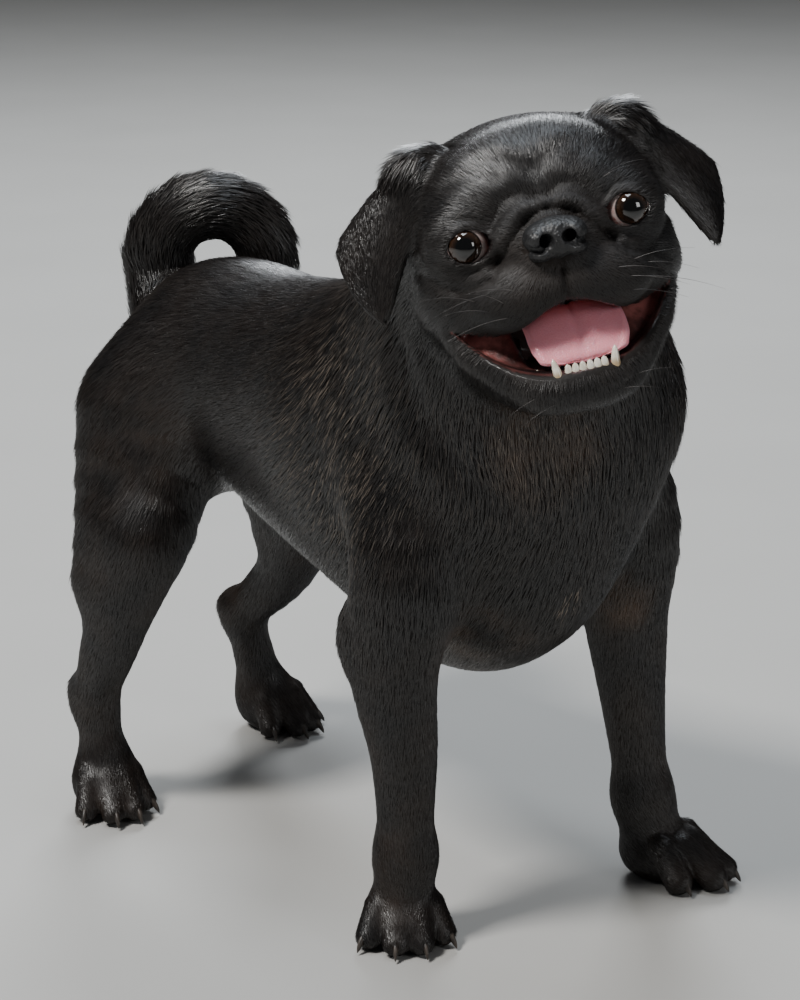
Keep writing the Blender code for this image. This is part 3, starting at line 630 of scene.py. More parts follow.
def surface_net(field, low, high, step, levels=2):
    """Points and quads around the places where field is below zero."""
    low = np.asarray(low, float)
    counts = np.ceil((np.asarray(high) - low) / step).astype(int) + 1
    values = grid_values(field, low, counts, step, levels)
    inside = values < 0
    cells = counts - 1
    corners = [np.array(c) for c in np.ndindex(2, 2, 2)]
    full = np.zeros(cells, int)
    for c in corners:
        full += inside[c[0]:c[0] + cells[0], c[1]:c[1] + cells[1], c[2]:c[2] + cells[2]]
    crossed = np.argwhere((full > 0) & (full < 8))
    number = np.full(cells, -1)
    number[tuple(crossed.T)] = np.arange(len(crossed))
    total = np.zeros((len(crossed), 3))
    weight = np.zeros(len(crossed))
    unit_steps = np.eye(3, dtype=int)
    for a in corners:
        for axis in range(3):
            if a[axis]:
                continue
            b = a + unit_steps[axis]
            va = values[tuple((crossed + a).T)]
            vb = values[tuple((crossed + b).T)]
            cut = (va < 0) != (vb < 0)
            t = np.where(cut, va / np.where(cut, va - vb, 1), 0)
            total += cut[:, None] * (a + t[:, None] * (b - a))
            weight += cut
    points = low + step * (crossed + total / weight[:, None])
    quads = []
    for axis in range(3):
        u, v = (axis + 1) % 3, (axis + 2) % 3
        first = np.moveaxis(inside, axis, 0)
        edges = np.argwhere(np.moveaxis(first[:-1] != first[1:], 0, axis))
        edges = edges[(edges[:, u] > 0) & (edges[:, v] > 0)]
        ring = np.stack([number[tuple((edges - du * unit_steps[u] - dv * unit_steps[v]).T)]
                         for du, dv in ((0, 0), (1, 0), (1, 1), (0, 1))], 1)
        outward = inside[tuple(edges.T)]
        quads.append(np.where(outward[:, None], ring, ring[:, ::-1]))
    return points, np.vstack(quads)


# %% Meshes from arrays
def new_piece(name, points, faces, finish=None, smooth_shading=True):
    """Mesh object from a point array and an array of faces with equally many corners."""
    points = np.asarray(points, np.float32)
    faces = np.asarray(faces, np.int32)
    corners = faces.shape[1]
    mesh = bpy.data.meshes.new(name)
    mesh.vertices.add(len(points))
    mesh.vertices.foreach_set("co", points.ravel())
    mesh.loops.add(faces.size)
    mesh.loops.foreach_set("vertex_index", faces.ravel())
    mesh.polygons.add(len(faces))
    mesh.polygons.foreach_set("loop_start", np.arange(0, faces.size, corners, dtype=np.int32))
    mesh.polygons.foreach_set("use_smooth", np.full(len(faces), smooth_shading))
    mesh.update(calc_edges=True)
    mesh.validate()
    if finish is not None:
        mesh.materials.append(finish)
    piece = bpy.data.objects.new(name, mesh)
    bpy.context.scene.collection.objects.link(piece)
    return piece


def set_attribute(piece, name, values):
    """One number for each point, which the material reads by this name."""
    layer = piece.data.attributes.new(name, "FLOAT", "POINT")
    layer.data.foreach_set("value", np.asarray(values, np.float32).ravel())


def applied(piece):
    """Replaces the piece's mesh with what its modifiers make of it."""
    graph = bpy.context.evaluated_depsgraph_get()
    mesh = bpy.data.meshes.new_from_object(piece.evaluated_get(graph))
    piece.modifiers.clear()
    piece.data = mesh
    return piece


def triangles_of(piece):
    """Points and triangles of a mesh as arrays."""
    mesh = piece.data
    mesh.calc_loop_triangles()
    points = np.empty(len(mesh.vertices) * 3, np.float32)
    mesh.vertices.foreach_get("co", points)
    triangles = np.empty(len(mesh.loop_triangles) * 3, np.int32)
    mesh.loop_triangles.foreach_get("vertices", triangles)
    return points.reshape(-1, 3).astype(float), triangles.reshape(-1, 3)


# %% [markdown]
# The net of the skin has far more faces than flat places need. Decimate takes faces away where
# the surface is smooth. A vertex group holds it back on the head, so that folds, lids and lips
# keep their detail.

# %% The skin's mesh
SKIN_STEP = .0015
SKIN_TRIANGLES = 190000
low, high = vec(-.130, -.215, -.006), vec(.145, .250, .432)
points, quads = surface_net(skin, low, high, SKIN_STEP)
print("skin net", len(points), "points,", len(quads), "quads")
body = new_piece("skin", points + SHIFT, quads)
if 2 * len(quads) > SKIN_TRIANGLES:
    thinned = body.vertex_groups.new(name="thinned")
    on_head = to_head(points)
    keep = ((on_head[:, 1] < 40) & (lengths(on_head - vec(0, 20, -20)) < 75))
    thinned.add(np.flatnonzero(~keep).tolist(), 1.0, "REPLACE")
    thinned.add(np.flatnonzero(keep).tolist(), .25, "REPLACE")
    thin = body.modifiers.new("thin", "DECIMATE")
    thin.ratio = SKIN_TRIANGLES / (2 * len(quads))
    thin.vertex_group = "thinned"
    thin.vertex_group_factor = 1.0
    thin.use_collapse_triangulate = True
    applied(body)
    body.vertex_groups.clear()
skin_points, skin_triangles = triangles_of(body)
skin_points = skin_points - SHIFT
print("skin after thinning", len(skin_points), "points,", len(skin_triangles), "triangles")


# %% [markdown]
# ## The lie of the coat
# Hair grows along flow lines: from the nose back over the skull, down the neck and legs, along
# the back to the tail. Each mass of the body gets a direction of its own, and a point on the skin
# blends them by how near each mass is. Length, lift and colour are worked out the same way, and
# skin and tufts read the same numbers, so their markings agree.

# %% What grows where
def nearest_on(path, points):
    """Number of the nearest path point for each point."""
    return np.argmin(((points[:, None, :] - path[None]) ** 2).sum(-1), axis=1)


def normals_of(points, triangles):
    """Mean direction of the faces around each point."""
    a, b, c = (points[triangles[:, k]] for k in range(3))
    face = np.cross(b - a, c - a)
    out = np.zeros_like(points)
    for k in range(3):
        np.add.at(out, triangles[:, k], face)
    return unit(out)


NOSE_TIP = vec(0, -12, -4)
skin_normals = normals_of(skin_points, skin_triangles)
parts = [parts_of(skin_points[i:i + 16384]) for i in range(0, len(skin_points), 16384)]
near = {name: np.concatenate([part[name] for part in parts]) for name in parts[0]}
near["ear"] = values_at(lambda q: ear(q, 1.5), skin_points)
w = to_head(skin_points)
mirror_w = mirrored(w)
x, y, z = skin_points.T


def weight(name, reach=.010):
    """1 on that mass, fading over reach."""
    return np.exp(-np.maximum(near[name], 0) / reach)


toward = {
    "trunk": np.column_stack([0 * x, 1 + 0 * x, -.30 - .9 * smooth(-z, -.24, -.16)]),
    "neck": np.column_stack([0 * x, .55 - 1.0 * smooth(-y, .08, .14), -1 + 0 * x]),
    "head": (w - NOSE_TIP) @ HEAD_AXES.T / 40,
}
for side in (-1, 1):
    toward[f"front_{side}"] = np.column_stack([0 * x, .12 + 0 * x, -1 + 0 * x])
    toward[f"hind_{side}"] = np.column_stack([0 * x, .45 + 0 * x, -1 + 0 * x])
for name, paw in PAWS.items():
    forward = turned_axes(paw["turn"]) @ vec(0, -1, -.35)
    toward[name] = np.broadcast_to(forward, skin_points.shape)
line = tail_path(np.linspace(0, 1, 60))
steps = np.gradient(line, axis=0)
toward["tail"] = unit(steps)[nearest_on(line, skin_points)]
sheet = ear_sheet(1, 9, 25)
along_ear = unit(np.gradient(sheet, axis=1)).reshape(-1, 3)
ear_line = along_ear[nearest_on(sheet.reshape(-1, 3), mirror_w)] * np.column_stack(
    [np.sign(w[:, 0]), 1 + 0 * x, 1 + 0 * x])
toward["ear"] = ear_line @ HEAD_AXES.T

lie = np.zeros_like(skin_points)
for name, direction in toward.items():
    reach = .004 if name in ("ear", "tail") else .010
    strong = 6.0 if name in ("ear", "tail") else 3.0 if name == "head" else 1.0
    lie += unit(direction) * (strong * weight(name, reach))[:, None]
lie -= skin_normals * (lie * skin_normals).sum(1)[:, None]
lie = unit(lie)

on_head = weight("head", .006)
on_ear = weight("ear", .002)
on_tail = weight("tail", .006)
on_paw = np.maximum.reduce([weight(name, .004) for name in PAWS])
on_leg = np.clip(smooth(-z, -.185, -.120), 0, 1)
back_of_thigh = np.maximum(weight("hind_1", .006), weight("hind_-1", .006)) * smooth(
    skin_normals[:, 1], .2, .8) * smooth(z, .10, .15)
ruff = weight("neck", .008) * (1 - on_head) * smooth(mirror_w[:, 1], 20, 70)
ear_top = (1 - smooth(lengths(mirror_w - vec(46, 48, 38)), 16, 30)) * smooth(w[:, 2], 22, 36)
muzzle = 1 - smooth(lengths(mirror_w - vec(10, -5, -22)), 28, 60)

hair_length = 8.5 + 3.0 * ruff + 1.5 * back_of_thigh - 3.2 * on_leg * (1 - back_of_thigh)
hair_length += (12.0 - hair_length) * on_tail
hair_length += (5.5 - 2.2 * muzzle - hair_length) * on_head
hair_length += (4.2 - hair_length) * on_ear
hair_length += 3.0 * ear_top
hair_length += (3.2 - hair_length) * on_paw
hair_lift = 8.5 + 5 * ruff + 1 * back_of_thigh + 11 * on_tail + 7 * on_head + 3 * ear_top
hair_width = .60 - .18 * on_head - .12 * on_ear * (1 - ear_top) - .10 * on_leg - .12 * on_paw
print("hair length mm", hair_length.min().round(1), "to", hair_length.max().round(1))

# %% Bare places, markings and painted highlights
mouth_gap = np.where(lengths(w - vec(0, 10, -45)) < 75, values_at(mouth, skin_points) / MM, 99)
in_mouth = 1 - smooth(mouth_gap, .2, 1.2)
lip_rim = (1 - smooth(mouth_gap, 2.0, 3.8)) * smooth(-w[:, 2], 44, 52)
lid_rim = 1 - smooth(values_at(eye_gap, skin_points) / MM, .5, 1.3)
lid_rim = np.where((lengths(mirror_w - vec(36, 2, 0)) < 16), lid_rim, 0)
sole_bare = (skin_normals[:, 2] < -.5) & (z < .008)
bare = np.maximum.reduce([in_mouth, lid_rim, lip_rim, sole_bare.astype(float),
                          1.0 * (lengths((w - vec(0, -14.0, -4.2)) / vec(14.2, 10.5, 10.2)) < 1.05)])


def patch(middle, radii):
    """1 in the middle of an ellipsoidal patch, 0 outside it: a marking, or on the shoulders a painted highlight."""
    return 1 - smooth(lengths((skin_points - middle) / radii), .35, 1.0)


warm = .07 + .12 * on_leg + .07 * on_head * muzzle
warm += .75 * patch(vec(-.040, -.156, .262), vec(.042, .05, .036))
warm += .80 * (patch(vec(-.037, -.106, .156), vec(.032, .04, .030))
               + patch(vec(.054, -.106, .157), vec(.026, .04, .028)))
warm += .20 * patch(vec(-.090, .120, .210), vec(.05, .07, .06))
pale = .03 + .16 * weight("neck", .02) * (1 - on_head) + .06 * back_of_thigh
# On both shoulders the pale tips are painted highlights: flecks of gloss put into the hair's colour.
for side in (-1, 1):
    pale += .70 * patch(vec(side * .083, -.045, .245), vec(.06, .070, .09))
pale += .50 * patch(vec(-.040, -.156, .262), vec(.042, .05, .036))
chest_mark = patch(vec(-.005, -.136, .177), vec(.007, .02, .013))
print("bare share of the skin", round(float((bare > .5).mean()), 3))

# %% [markdown]
# ## Finishes
# A material is a sum worked out for every point of a surface. To write it as plain arithmetic,
# a small class wraps a node's output, and + - * / on it add the Math nodes. Colours are mixed
# with Mix nodes, because a Math node would turn them grey.

# %% Arithmetic on sockets
class Wire:
    """One output of a node. Arithmetic on it adds a Math node and returns that node's output."""

    def __init__(self, finish, socket):
        self.finish, self.socket = finish, socket

    def math(self, operation, *values):
        return self.finish.node("Math", {"operation": operation}, *values)

    def __add__(self, other):
        return self.math("ADD", self, other)

    def __sub__(self, other):
        return self.math("SUBTRACT", self, other)

    def __rsub__(self, other):
        return self.math("SUBTRACT", other, self)

    def __mul__(self, other):
        return self.math("MULTIPLY", self, other)

    def __truediv__(self, other):
        return self.math("DIVIDE", self, other)

    def __pow__(self, other):
        return self.math("POWER", self, other)

    __radd__ = __add__
    __rmul__ = __mul__

    def between(self, low, high):
        """0 below low, 1 above high, smooth between them."""
        return self.finish.node("MapRange", {"interpolation_type": "SMOOTHSTEP"}, self, low, high, 0, 1)


class Finish:
    """A material while it is made. The shader's constants are given by name."""

    def __init__(self, name, **constants):
        self.material = bpy.data.materials.new(name)
        self.material.use_nodes = True
        self.tree = self.material.node_tree
        self.shader = self.tree.nodes["Principled BSDF"]
        for key, value in constants.items():
            self.shader.inputs[key.replace("_", " ")].default_value = value

    def node(self, kind, settings, *values, output=0, **named):
        """Adds a node: its settings first, then its sockets in order, then sockets by name."""
        made = self.tree.nodes.new("ShaderNode" + kind)
        for key, value in settings.items():
            setattr(made, key, value)
        pairs = list(zip(made.inputs, values))
        pairs += [(made.inputs[key], value) for key, value in named.items()]
        for socket, value in pairs:
            self.set(socket, value)
        return Wire(self, made.outputs[output])

    def set(self, socket, value):
        if isinstance(value, Wire):
            self.tree.links.new(value.socket, socket)
        elif value is not None:
            if hasattr(socket.default_value, "__len__"):
                value = tuple(value) + (1,) * (len(socket.default_value) - len(value))
            socket.default_value = value

    def place(self, scale=(1, 1, 1)):
        """Object coordinates, stretched by scale."""
        spot = self.node("TexCoord", {}, output="Object")
        return self.node("Mapping", {}, spot, Scale=scale)

    def noise(self, scale, detail=3.0, rough=.5, spot=None):
        spot = spot or self.place()
        return self.node("TexNoise", {}, Vector=spot, Scale=scale, Detail=detail, Roughness=rough)

    def cells(self, scale, feature="F1", spot=None):
        spot = spot or self.place()
        return self.node("TexVoronoi", {"feature": feature}, Vector=spot, Scale=scale)

    def read(self, name):
        """A number that the mesh carries under this name."""
        return self.node("Attribute", {"attribute_name": name}, output="Fac")

    def mix(self, share, first, second):
        """Colour between first and second."""
        mixed = self.tree.nodes.new("ShaderNodeMix")
        mixed.data_type = "RGBA"
        for socket, value in zip([mixed.inputs[0], mixed.inputs[6], mixed.inputs[7]],
                                 [share, first, second]):
            self.set(socket, value)
        return Wire(self, mixed.outputs[2])

    def finish(self, colour=None, roughness=None, coat=None, height=None, relief=.0005, strength=.5):
        """Joins what changes over the surface to the shader, the height as a bump."""
        if colour is not None:
            self.set(self.shader.inputs["Base Color"], colour)
        if roughness is not None:
            self.set(self.shader.inputs["Roughness"], roughness)
        if coat is not None:
            self.set(self.shader.inputs["Coat Weight"], coat)
        if height is not None:
            bump = self.node("Bump", {}, Strength=strength, Distance=relief, Height=height)
            self.set(self.shader.inputs["Normal"], bump)
        return self.material


# %% [markdown]
# Black hair isn't black all over. Each hair is clear horn with dark grains in it: light that
# passes through it comes out brown, and light that glances off it is white or the colour of the
# sky. So the base colour is a very dark warm brown, there are browner places where the hair is
# thin, and the gloss does most of the rest. Some hairs on the neck have pale tips. The pale tips
# on the shoulders are painted highlights, and the lighter grey tips of a random share of tufts
# are partly a tone of their own and partly painted glints.

# %% Coat and skin finishes
BLACK, BROWN = (.0034, .0028, .0029), (.075, .042, .023)
PALE_TIPS_AND_GLINT, GREY_TIP_AND_GLINT = (.20, .16, .125), (.024, .019, .016)


def coat_colour(f):
    """Dark base, browner where warm is high, in patches a few centimetres wide."""
    warm_share = f.read("warm") * f.noise(38, 2).between(.20, .85)
    return f.mix(warm_share, BLACK, BROWN)


def coat_finish():
    f = Finish("black_coat", Specular_IOR_Level=.62)
    chance = f.read("chance")
    tip = f.read("along")
    colour = coat_colour(f)
    # Pale hair tips: hair colour on neck, throat and chest, painted highlights on the shoulders.
    pale_tip_and_glint_share = f.read("pale") * chance.between(.62, .95) * tip.between(.15, .75)
    colour = f.mix(pale_tip_and_glint_share, colour, PALE_TIPS_AND_GLINT)
    # Lighter grey tips on a random share of tufts: partly a tone of their own, partly painted glints.
    colour = f.mix(tip.between(.4, 1.0) * chance.between(.55, 1.0) * .7, colour, GREY_TIP_AND_GLINT)
    return f.finish(colour, roughness=.24 + .22 * chance + .28 * f.read("dull"))


def skin_finish():
    f = Finish("skin_under_coat", Specular_IOR_Level=.25, Coat_Roughness=.12)
    lining, rim = f.read("lining"), f.read("rim")
    blotch = f.noise(160, 3)
    flesh_tone = f.mix(blotch.between(.35, .65), (.50, .17, .155), (.19, .070, .062))
    # Darker towards the throat by 'deep': painted shade in the back of the mouth.
    flesh_tone = f.mix(f.read("deep"), flesh_tone, (.050, .014, .014))
    flesh_tone = f.mix(f.read("edge"), flesh_tone, (.014, .010, .010))
    colour = f.mix(lining, coat_colour(f), flesh_tone)
    colour = f.mix(rim, colour, (.010, .008, .008))
    hairs = f.noise(520, 5, .75)
    wet = (lining + rim).between(.2, .8)
    return f.finish(colour, roughness=.60 - .32 * wet, coat=wet * .7, height=hairs,
                    relief=.0006, strength=.6)


black_coat, black_skin = coat_finish(), skin_finish()
body.data.materials.append(black_skin)
inward = np.clip((w[:, 1] + 6 - 22 * (mirror_w[:, 0] / 45) ** 2) / 7, 0, 1)
# 'deep' grows towards the back of the mouth and darkens the lining there as painted shade.
for name, values in (("warm", warm), ("pale", pale), ("lining", in_mouth), ("rim", np.maximum(lid_rim, .35 * lip_rim)),
                     ("edge", (1 - inward) * in_mouth), ("deep", smooth(w[:, 1], 14, 34))):
    set_attribute(body, name, values)
body.data.polygons.foreach_set("use_smooth", np.full(len(body.data.polygons), True))
COAT_NODES = [node for node in frame["nodes"]
              if not node.startswith(("claw", "eye", "nose", "tongue"))]
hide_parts(*COAT_NODES)
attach(body, "root")
print("skin stands for", len(COAT_NODES), "nodes")


# %% [markdown]
# ## The coat
# The hair of a pug is about a centimetre long and lies flat, so what the eye sees is a surface
# of fine overlapping strands. Hair particles would be lost when the model is exported. Each tuft
# here is a solid lance with three sides: narrow at the root, widest before the middle, with a
# pointed tip. All tufts of a region are worked out together as arrays. Their shading
# normals are part the skin's and part their own, so that the coat shines as one smooth body and
# still shows its strands.

# %% Scattering the roots
TUFT_SHARE = 1.0


def scattered(points, triangles, per_mm2):
    """Owner triangle and corner shares of random places, as many per square mm as asked for."""
    a, b, c = (points[triangles[:, k]] for k in range(3))
    area = lengths(np.cross(b - a, c - a)) / 2 / MM ** 2
    wanted = area * per_mm2[triangles].mean(1)
    count = np.floor(wanted + RANDOM.random(len(wanted))).astype(int)
    owner = np.repeat(np.arange(len(triangles)), count)
    r = RANDOM.random((len(owner), 2))
    r = np.where(r.sum(1)[:, None] > 1, 1 - r, r)
    return owner, np.column_stack([1 - r.sum(1), r])


coverage = 1.62 + .35 * on_tail + .50 * on_head
per_mm2 = coverage / (hair_length * hair_width * .62) * (bare < .5) * TUFT_SHARE
owner, share = scattered(skin_points, skin_triangles, per_mm2)


def at_roots(values):
    """Values on the skin's points carried to the roots."""
    values = np.asarray(values, float)
    picked = values[skin_triangles[owner]]
    return (picked * (share[..., None] if picked.ndim == 3 else share)).sum(1)


root, root_normal, root_lie = at_roots(skin_points), unit(at_roots(skin_normals)), at_roots(lie)
root_length, root_lift, root_width = (at_roots(v) for v in (hair_length, hair_lift, hair_width))
root_warm, root_pale_and_glint = at_roots(warm), at_roots(pale)
root_mark, root_dull = at_roots(chest_mark), at_roots(on_head * muzzle)
root_head, root_ear, root_tail = (at_roots(v) for v in (on_head, on_ear, on_tail))
print("tufts", len(root))


# %% Tufts as arrays
def lances(root, normal, lie, length, lift, width, rings):
    """Three-sided lances. Middle line: root + L t (cos(lift) lie + sin(lift) normal)
    - L t^2 sin(lift) / 2 normal. rings are (t, share of the width)."""
    across = unit(np.cross(normal, lie))
    lie = np.cross(across, normal)
    swing = np.radians(RANDOM.normal(0, 7, len(root)))[:, None]
    lie, across = np.cos(swing) * lie + np.sin(swing) * across, np.cos(swing) * across - np.sin(swing) * lie
    lift = np.radians(lift * RANDOM.uniform(.6, 1.4, len(root)))[:, None]
    length = (length * RANDOM.uniform(.75, 1.25, len(root)))[:, None] * MM
    width = (width * RANDOM.uniform(.7, 1.3, len(root)))[:, None] * MM / 2
    sink = .30 * width

    def middle(t):
        along = np.cos(lift) * lie + np.sin(lift) * normal
        return root - sink * normal + length * (t * along - .5 * t * t * np.sin(lift) * normal)

    points, shading, heights = [], [], []
    for t, full in rings:
        c = middle(t)
        for side, up in ((-1, 0), (1, 0), (0, .8)):
            points.append(c + width * full * (side * across + up * normal))
            shading.append(unit(.45 * normal + .90 * (side * across + (up > 0) * normal)))
            heights.append(np.full(len(root), t))
    points.append(middle(1.0))
    shading.append(normal)
    heights.append(np.full(len(root), 1.0))
    return np.stack(points, 1), np.stack(shading, 1), np.stack(heights, 1)


def lance_faces(ring_count):
    """Triangles of one closed lance: a cap, the sides between rings, and the point."""
    faces = [(0, 2, 1)]
    for ring in range(ring_count - 1):
        for k in range(3):
            a, b = 3 * ring + k, 3 * ring + (k + 1) % 3
            faces += [(a, b, b + 3), (a, b + 3, a + 3)]
    last = 3 * (ring_count - 1)
    faces += [(last + k, last + (k + 1) % 3, 3 * ring_count) for k in range(3)]
    return np.array(faces)


def unwrapped(points, middle, axis, reach):
    """Place on an unwrap round an axis: the angle round it and the way along it, both 0 to 1."""
    axis = unit(np.asarray(axis, float))
    side = unit(np.cross(axis, vec(.31, .92, .17)))
    other = np.cross(axis, side)
    q = points - middle
    turn = np.arctan2(q @ side, q @ other) / (2 * np.pi) + .5
    return np.column_stack([turn, np.clip((q @ axis) / (2 * reach) + .5, .004, .996)]) * .98 + .01


def make_coat(name, chosen, rings, middle, axis, reach):
    """One coat piece from the chosen roots."""
    rooted, normal = root[chosen], root_normal[chosen]
    points, shading, heights = lances(rooted, normal, root_lie[chosen], root_length[chosen],
                                      root_lift[chosen], root_width[chosen], rings)
    count, each = points.shape[:2]
    one = lance_faces(len(rings))
    faces = (one[None] + each * np.arange(count)[:, None, None]).reshape(-1, 3)
    piece = new_piece(name, points.reshape(-1, 3) + SHIFT, faces, black_coat)
    piece.data.normals_split_custom_set_from_vertices(shading.reshape(-1, 3).tolist())
    chance = RANDOM.random(count)
    for label, values in (("chance", chance), ("warm", root_warm[chosen]),
                          ("pale", root_pale_and_glint[chosen] + 4 * root_mark[chosen]),
                          ("dull", root_dull[chosen])):
        set_attribute(piece, label, np.repeat(values, each))
    set_attribute(piece, "along", heights)
    spread = np.array([(.0015 * s, .003 * t) for t, _ in rings for s in (-1, 1, 0)] + [(0, .003)])
    patches = unwrapped(rooted, middle, axis, reach)[:, None, :] + spread
    layer = piece.data.uv_layers.new(name="OFBake")
    corner = np.empty(len(piece.data.loops), np.int32)
    piece.data.loops.foreach_get("vertex_index", corner)
    layer.data.foreach_set("uv", patches.reshape(-1, 2)[corner].astype(np.float32).ravel())
    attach(piece, "root")
    return len(faces)


# %% Coat pieces by region
LONG, SHORT = [(0, .55), (.42, 1.0)], [(0, 1.0)]
rx, ry, rz = root.T
face_y = to_head(root)[:, 1]
regions = np.full(len(root), "flanks", object)
regions[(rz < .150) & (ry < .03)] = "front_legs"
regions[(rz < .150) & (ry >= .03) & ((rz < .145) | (ry > .09))] = "hind_legs"
regions[(ry >= .080) & (rz >= .150)] = "rump"
regions[(ry < -.030) & (rz >= .150)] = "shoulders"
regions[(ry < -.085) & (rz >= .240)] = "neck"
regions[(root_head > .5)] = "skull"
regions[(root_head > .5) & (face_y < 34)] = "face"
regions[root_ear > .5] = "ears"
regions[root_tail > .5] = "tail"
UNWRAPS = {
    "face": (from_head([0, 40, -15]), HEAD_AXES @ vec(0, 0, 1), .075),
    "skull": (from_head([0, 40, -15]), HEAD_AXES @ vec(0, 1, 0), .090),
    "ears": (from_head([0, 45, 5]), HEAD_AXES @ vec(0, 0, 1), .060),
    "neck": (vec(-.008, -.090, .280), vec(-.1, -.4, .9), .100),
    "shoulders": (vec(0, -.070, .215), vec(0, 1, 0), .080),
    "flanks": (vec(0, .040, .225), vec(0, 1, 0), .120),
    "rump": (vec(0, .130, .225), vec(0, 1, 0), .100),
    "front_legs": (vec(0, -.088, .075), vec(0, 0, 1), .085),
    "hind_legs": (vec(0, .180, .075), vec(0, 0, 1), .085),
    "tail": (vec(.018, .175, .300), vec(.2, .6, .5), .060),
}
PER_PIECE = 19000
triangle_count = 0
for region, unwrap in UNWRAPS.items():
    chosen = np.flatnonzero(regions == region)
    rings = LONG if region in ("skull", "neck", "shoulders", "tail") else SHORT
    per_piece = PER_PIECE if rings is LONG else 2 * PER_PIECE
    chosen = chosen[np.argsort(rz[chosen], kind="stable")]
    shares = np.array_split(chosen, max(1, -(-len(chosen) // per_piece)))
    for number, some in enumerate(shares, 1):
        made = make_coat(f"coat_{region}_{number}", some, rings, *unwrap)
        triangle_count += made
        print(f"coat_{region}_{number}", len(some), "tufts,", made, "triangles")
print("coat triangles", triangle_count)

# %% [markdown]
# ## Eyes
# A dog's eye is a white ball with a clear dome in front, the cornea, over a dark brown iris. In a
# pug the lids leave a round opening, and only a little of the white shows in the corners. The ball
# is a surface of revolution about the line of sight. Its radius grows by the dome's height near
# that line. The colours depend on the angle from that line alone, which the mesh carries.


# %% Eyeballs
def turned_surface(middle, axes, radius, rings, columns):
    """Closed surface of revolution about -Y of the axes: radius is a function of the angle from
    it, 0 to pi. Poles are single points."""
    polar = np.linspace(0, np.pi, rings)
    around = np.linspace(0, 2 * np.pi, columns, endpoint=False)
    size = radius(polar)
    a, b = np.meshgrid(polar[1:-1], around, indexing="ij")
    r = size[1:-1, None]
    body = np.stack([r * np.sin(a) * np.cos(b), -r * np.cos(a), r * np.sin(a) * np.sin(b)], -1)
    local = np.vstack([[0, -size[0], 0], body.reshape(-1, 3), [0, size[-1], 0]])
    last = len(local) - 1
    j = np.arange(columns)
    k = (j + 1) % columns
    faces = [np.column_stack([0 * j, 1 + j, 1 + k])]
    for i in range(rings - 3):
        top, low = 1 + i * columns, 1 + (i + 1) * columns
        faces.append(np.column_stack([top + j, low + j, low + k]))
        faces.append(np.column_stack([top + j, low + k, top + k]))
    top = 1 + (rings - 3) * columns
    faces.append(np.column_stack([top + j, 0 * j + last, top + k]))
    angles = np.concatenate([[0], np.repeat(polar[1:-1], columns), [np.pi]])
    return local @ np.asarray(axes).T + middle, np.vstack(faces), angles, local


def eye_finish():
    f = Finish("wet_eye", Specular_IOR_Level=.6, Coat_Weight=1.0, Coat_Roughness=.02, Coat_IOR=1.38)
    angle = f.read("angle") * math.degrees(1)
    rays = f.node("TexNoise", {}, Vector=f.place(), Scale=900, Detail=2)
    iris = f.mix(angle.between(20, 36) * rays, (.008, .004, .002), (.052, .023, .011))
    colour = f.mix(angle.between(18, 22), (.001, .001, .001), iris)
    colour = f.mix(angle.between(34, 38), colour, (.003, .002, .002))
    vein = f.noise(420, 5, .75).between(.50, .68)
    white = f.mix(vein * .8 + angle.between(44, 62) * .7, (.42, .34, .32), (.30, .085, .075))
    colour = f.mix(angle.between(38.5, 42.5), colour, white)
    return f.finish(colour, roughness=f.node("Math", {"operation": "ADD"}, angle.between(38, 45) * .12, .04))


wet_eye = eye_finish()
for name, side in (("left", 1), ("right", -1)):
    gaze = HEAD_AXES @ turned_axes(-5.0 * side, 0)
    eye_place = from_head(vec(side * EYE_APART, EYE_DEEP, 0) / MM)
    size = lambda a: EYE_RADIUS - .0001 + .0011 * (1 - smooth(a, math.radians(14), math.radians(42)))
    points, faces, angles, _ = turned_surface(eye_place, gaze, size, 49, 64)
    ball = new_piece(f"eyeball_{name}", points + SHIFT, faces, wet_eye)
    set_attribute(ball, "angle", angles)
    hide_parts(f"eye_{name}")
    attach(ball, "root")
print("eyeballs", 2 * EYE_RADIUS / MM, "mm across")

# %% [markdown]
# ## Nose
# The nose leather is a bare pad with two comma-shaped nostrils and a groove down its middle. It
# is made like the skin, as a field, but on a grid of half a millimetre. Its pebbles are only
# tenths of a millimetre high, so they are a bump of small rounded cells, and the grooves between
# them are painted darker as shade.

# %% Nose leather
NOSTRIL = [(4.4, -26.0, -3.6), (5.2, -21.0, -3.6), (7.2, -14.0, -3.2)]
SLIT = [(5.2, -22.5, -5.4), (8.0, -20.8, -6.8), (11.0, -18.0, -6.4), (13.8, -14.0, -4.8)]


def nose_pad(p):
    """Pad, wings and top joined, less nostrils, slits and groove."""
    q = mirrored(to_head(p))
    d = egg(q, vec(0, -12.6, -4.8), vec(10.6, 10.4, 8.2))
    d = join(d, egg(q, vec(8.0, -13.6, -2.4), vec(6.2, 9.0, 5.8)), 2.0)
    d = join(d, egg(q, vec(0, -11.5, .2), vec(11.0, 9.4, 5.4)), 2.5)
    d = join(d, egg(q, vec(7.4, -13.5, -9.2), vec(5.6, 8.2, 3.6)), 1.2)
    d = carve(d, limb(q, NOSTRIL, [3.3, 3.0, 1.8]), 1.2)
    d = carve(d, limb(q, SLIT, [2.2, 1.9, 1.4, .9]), .9)
    groove = limb(q, [(0, -24.4, 1.0), (0, -23.8, -5), (0, -21.6, -13)], [.7, 1.1, 1.3])
    return carve(d, groove, 1.1) * MM


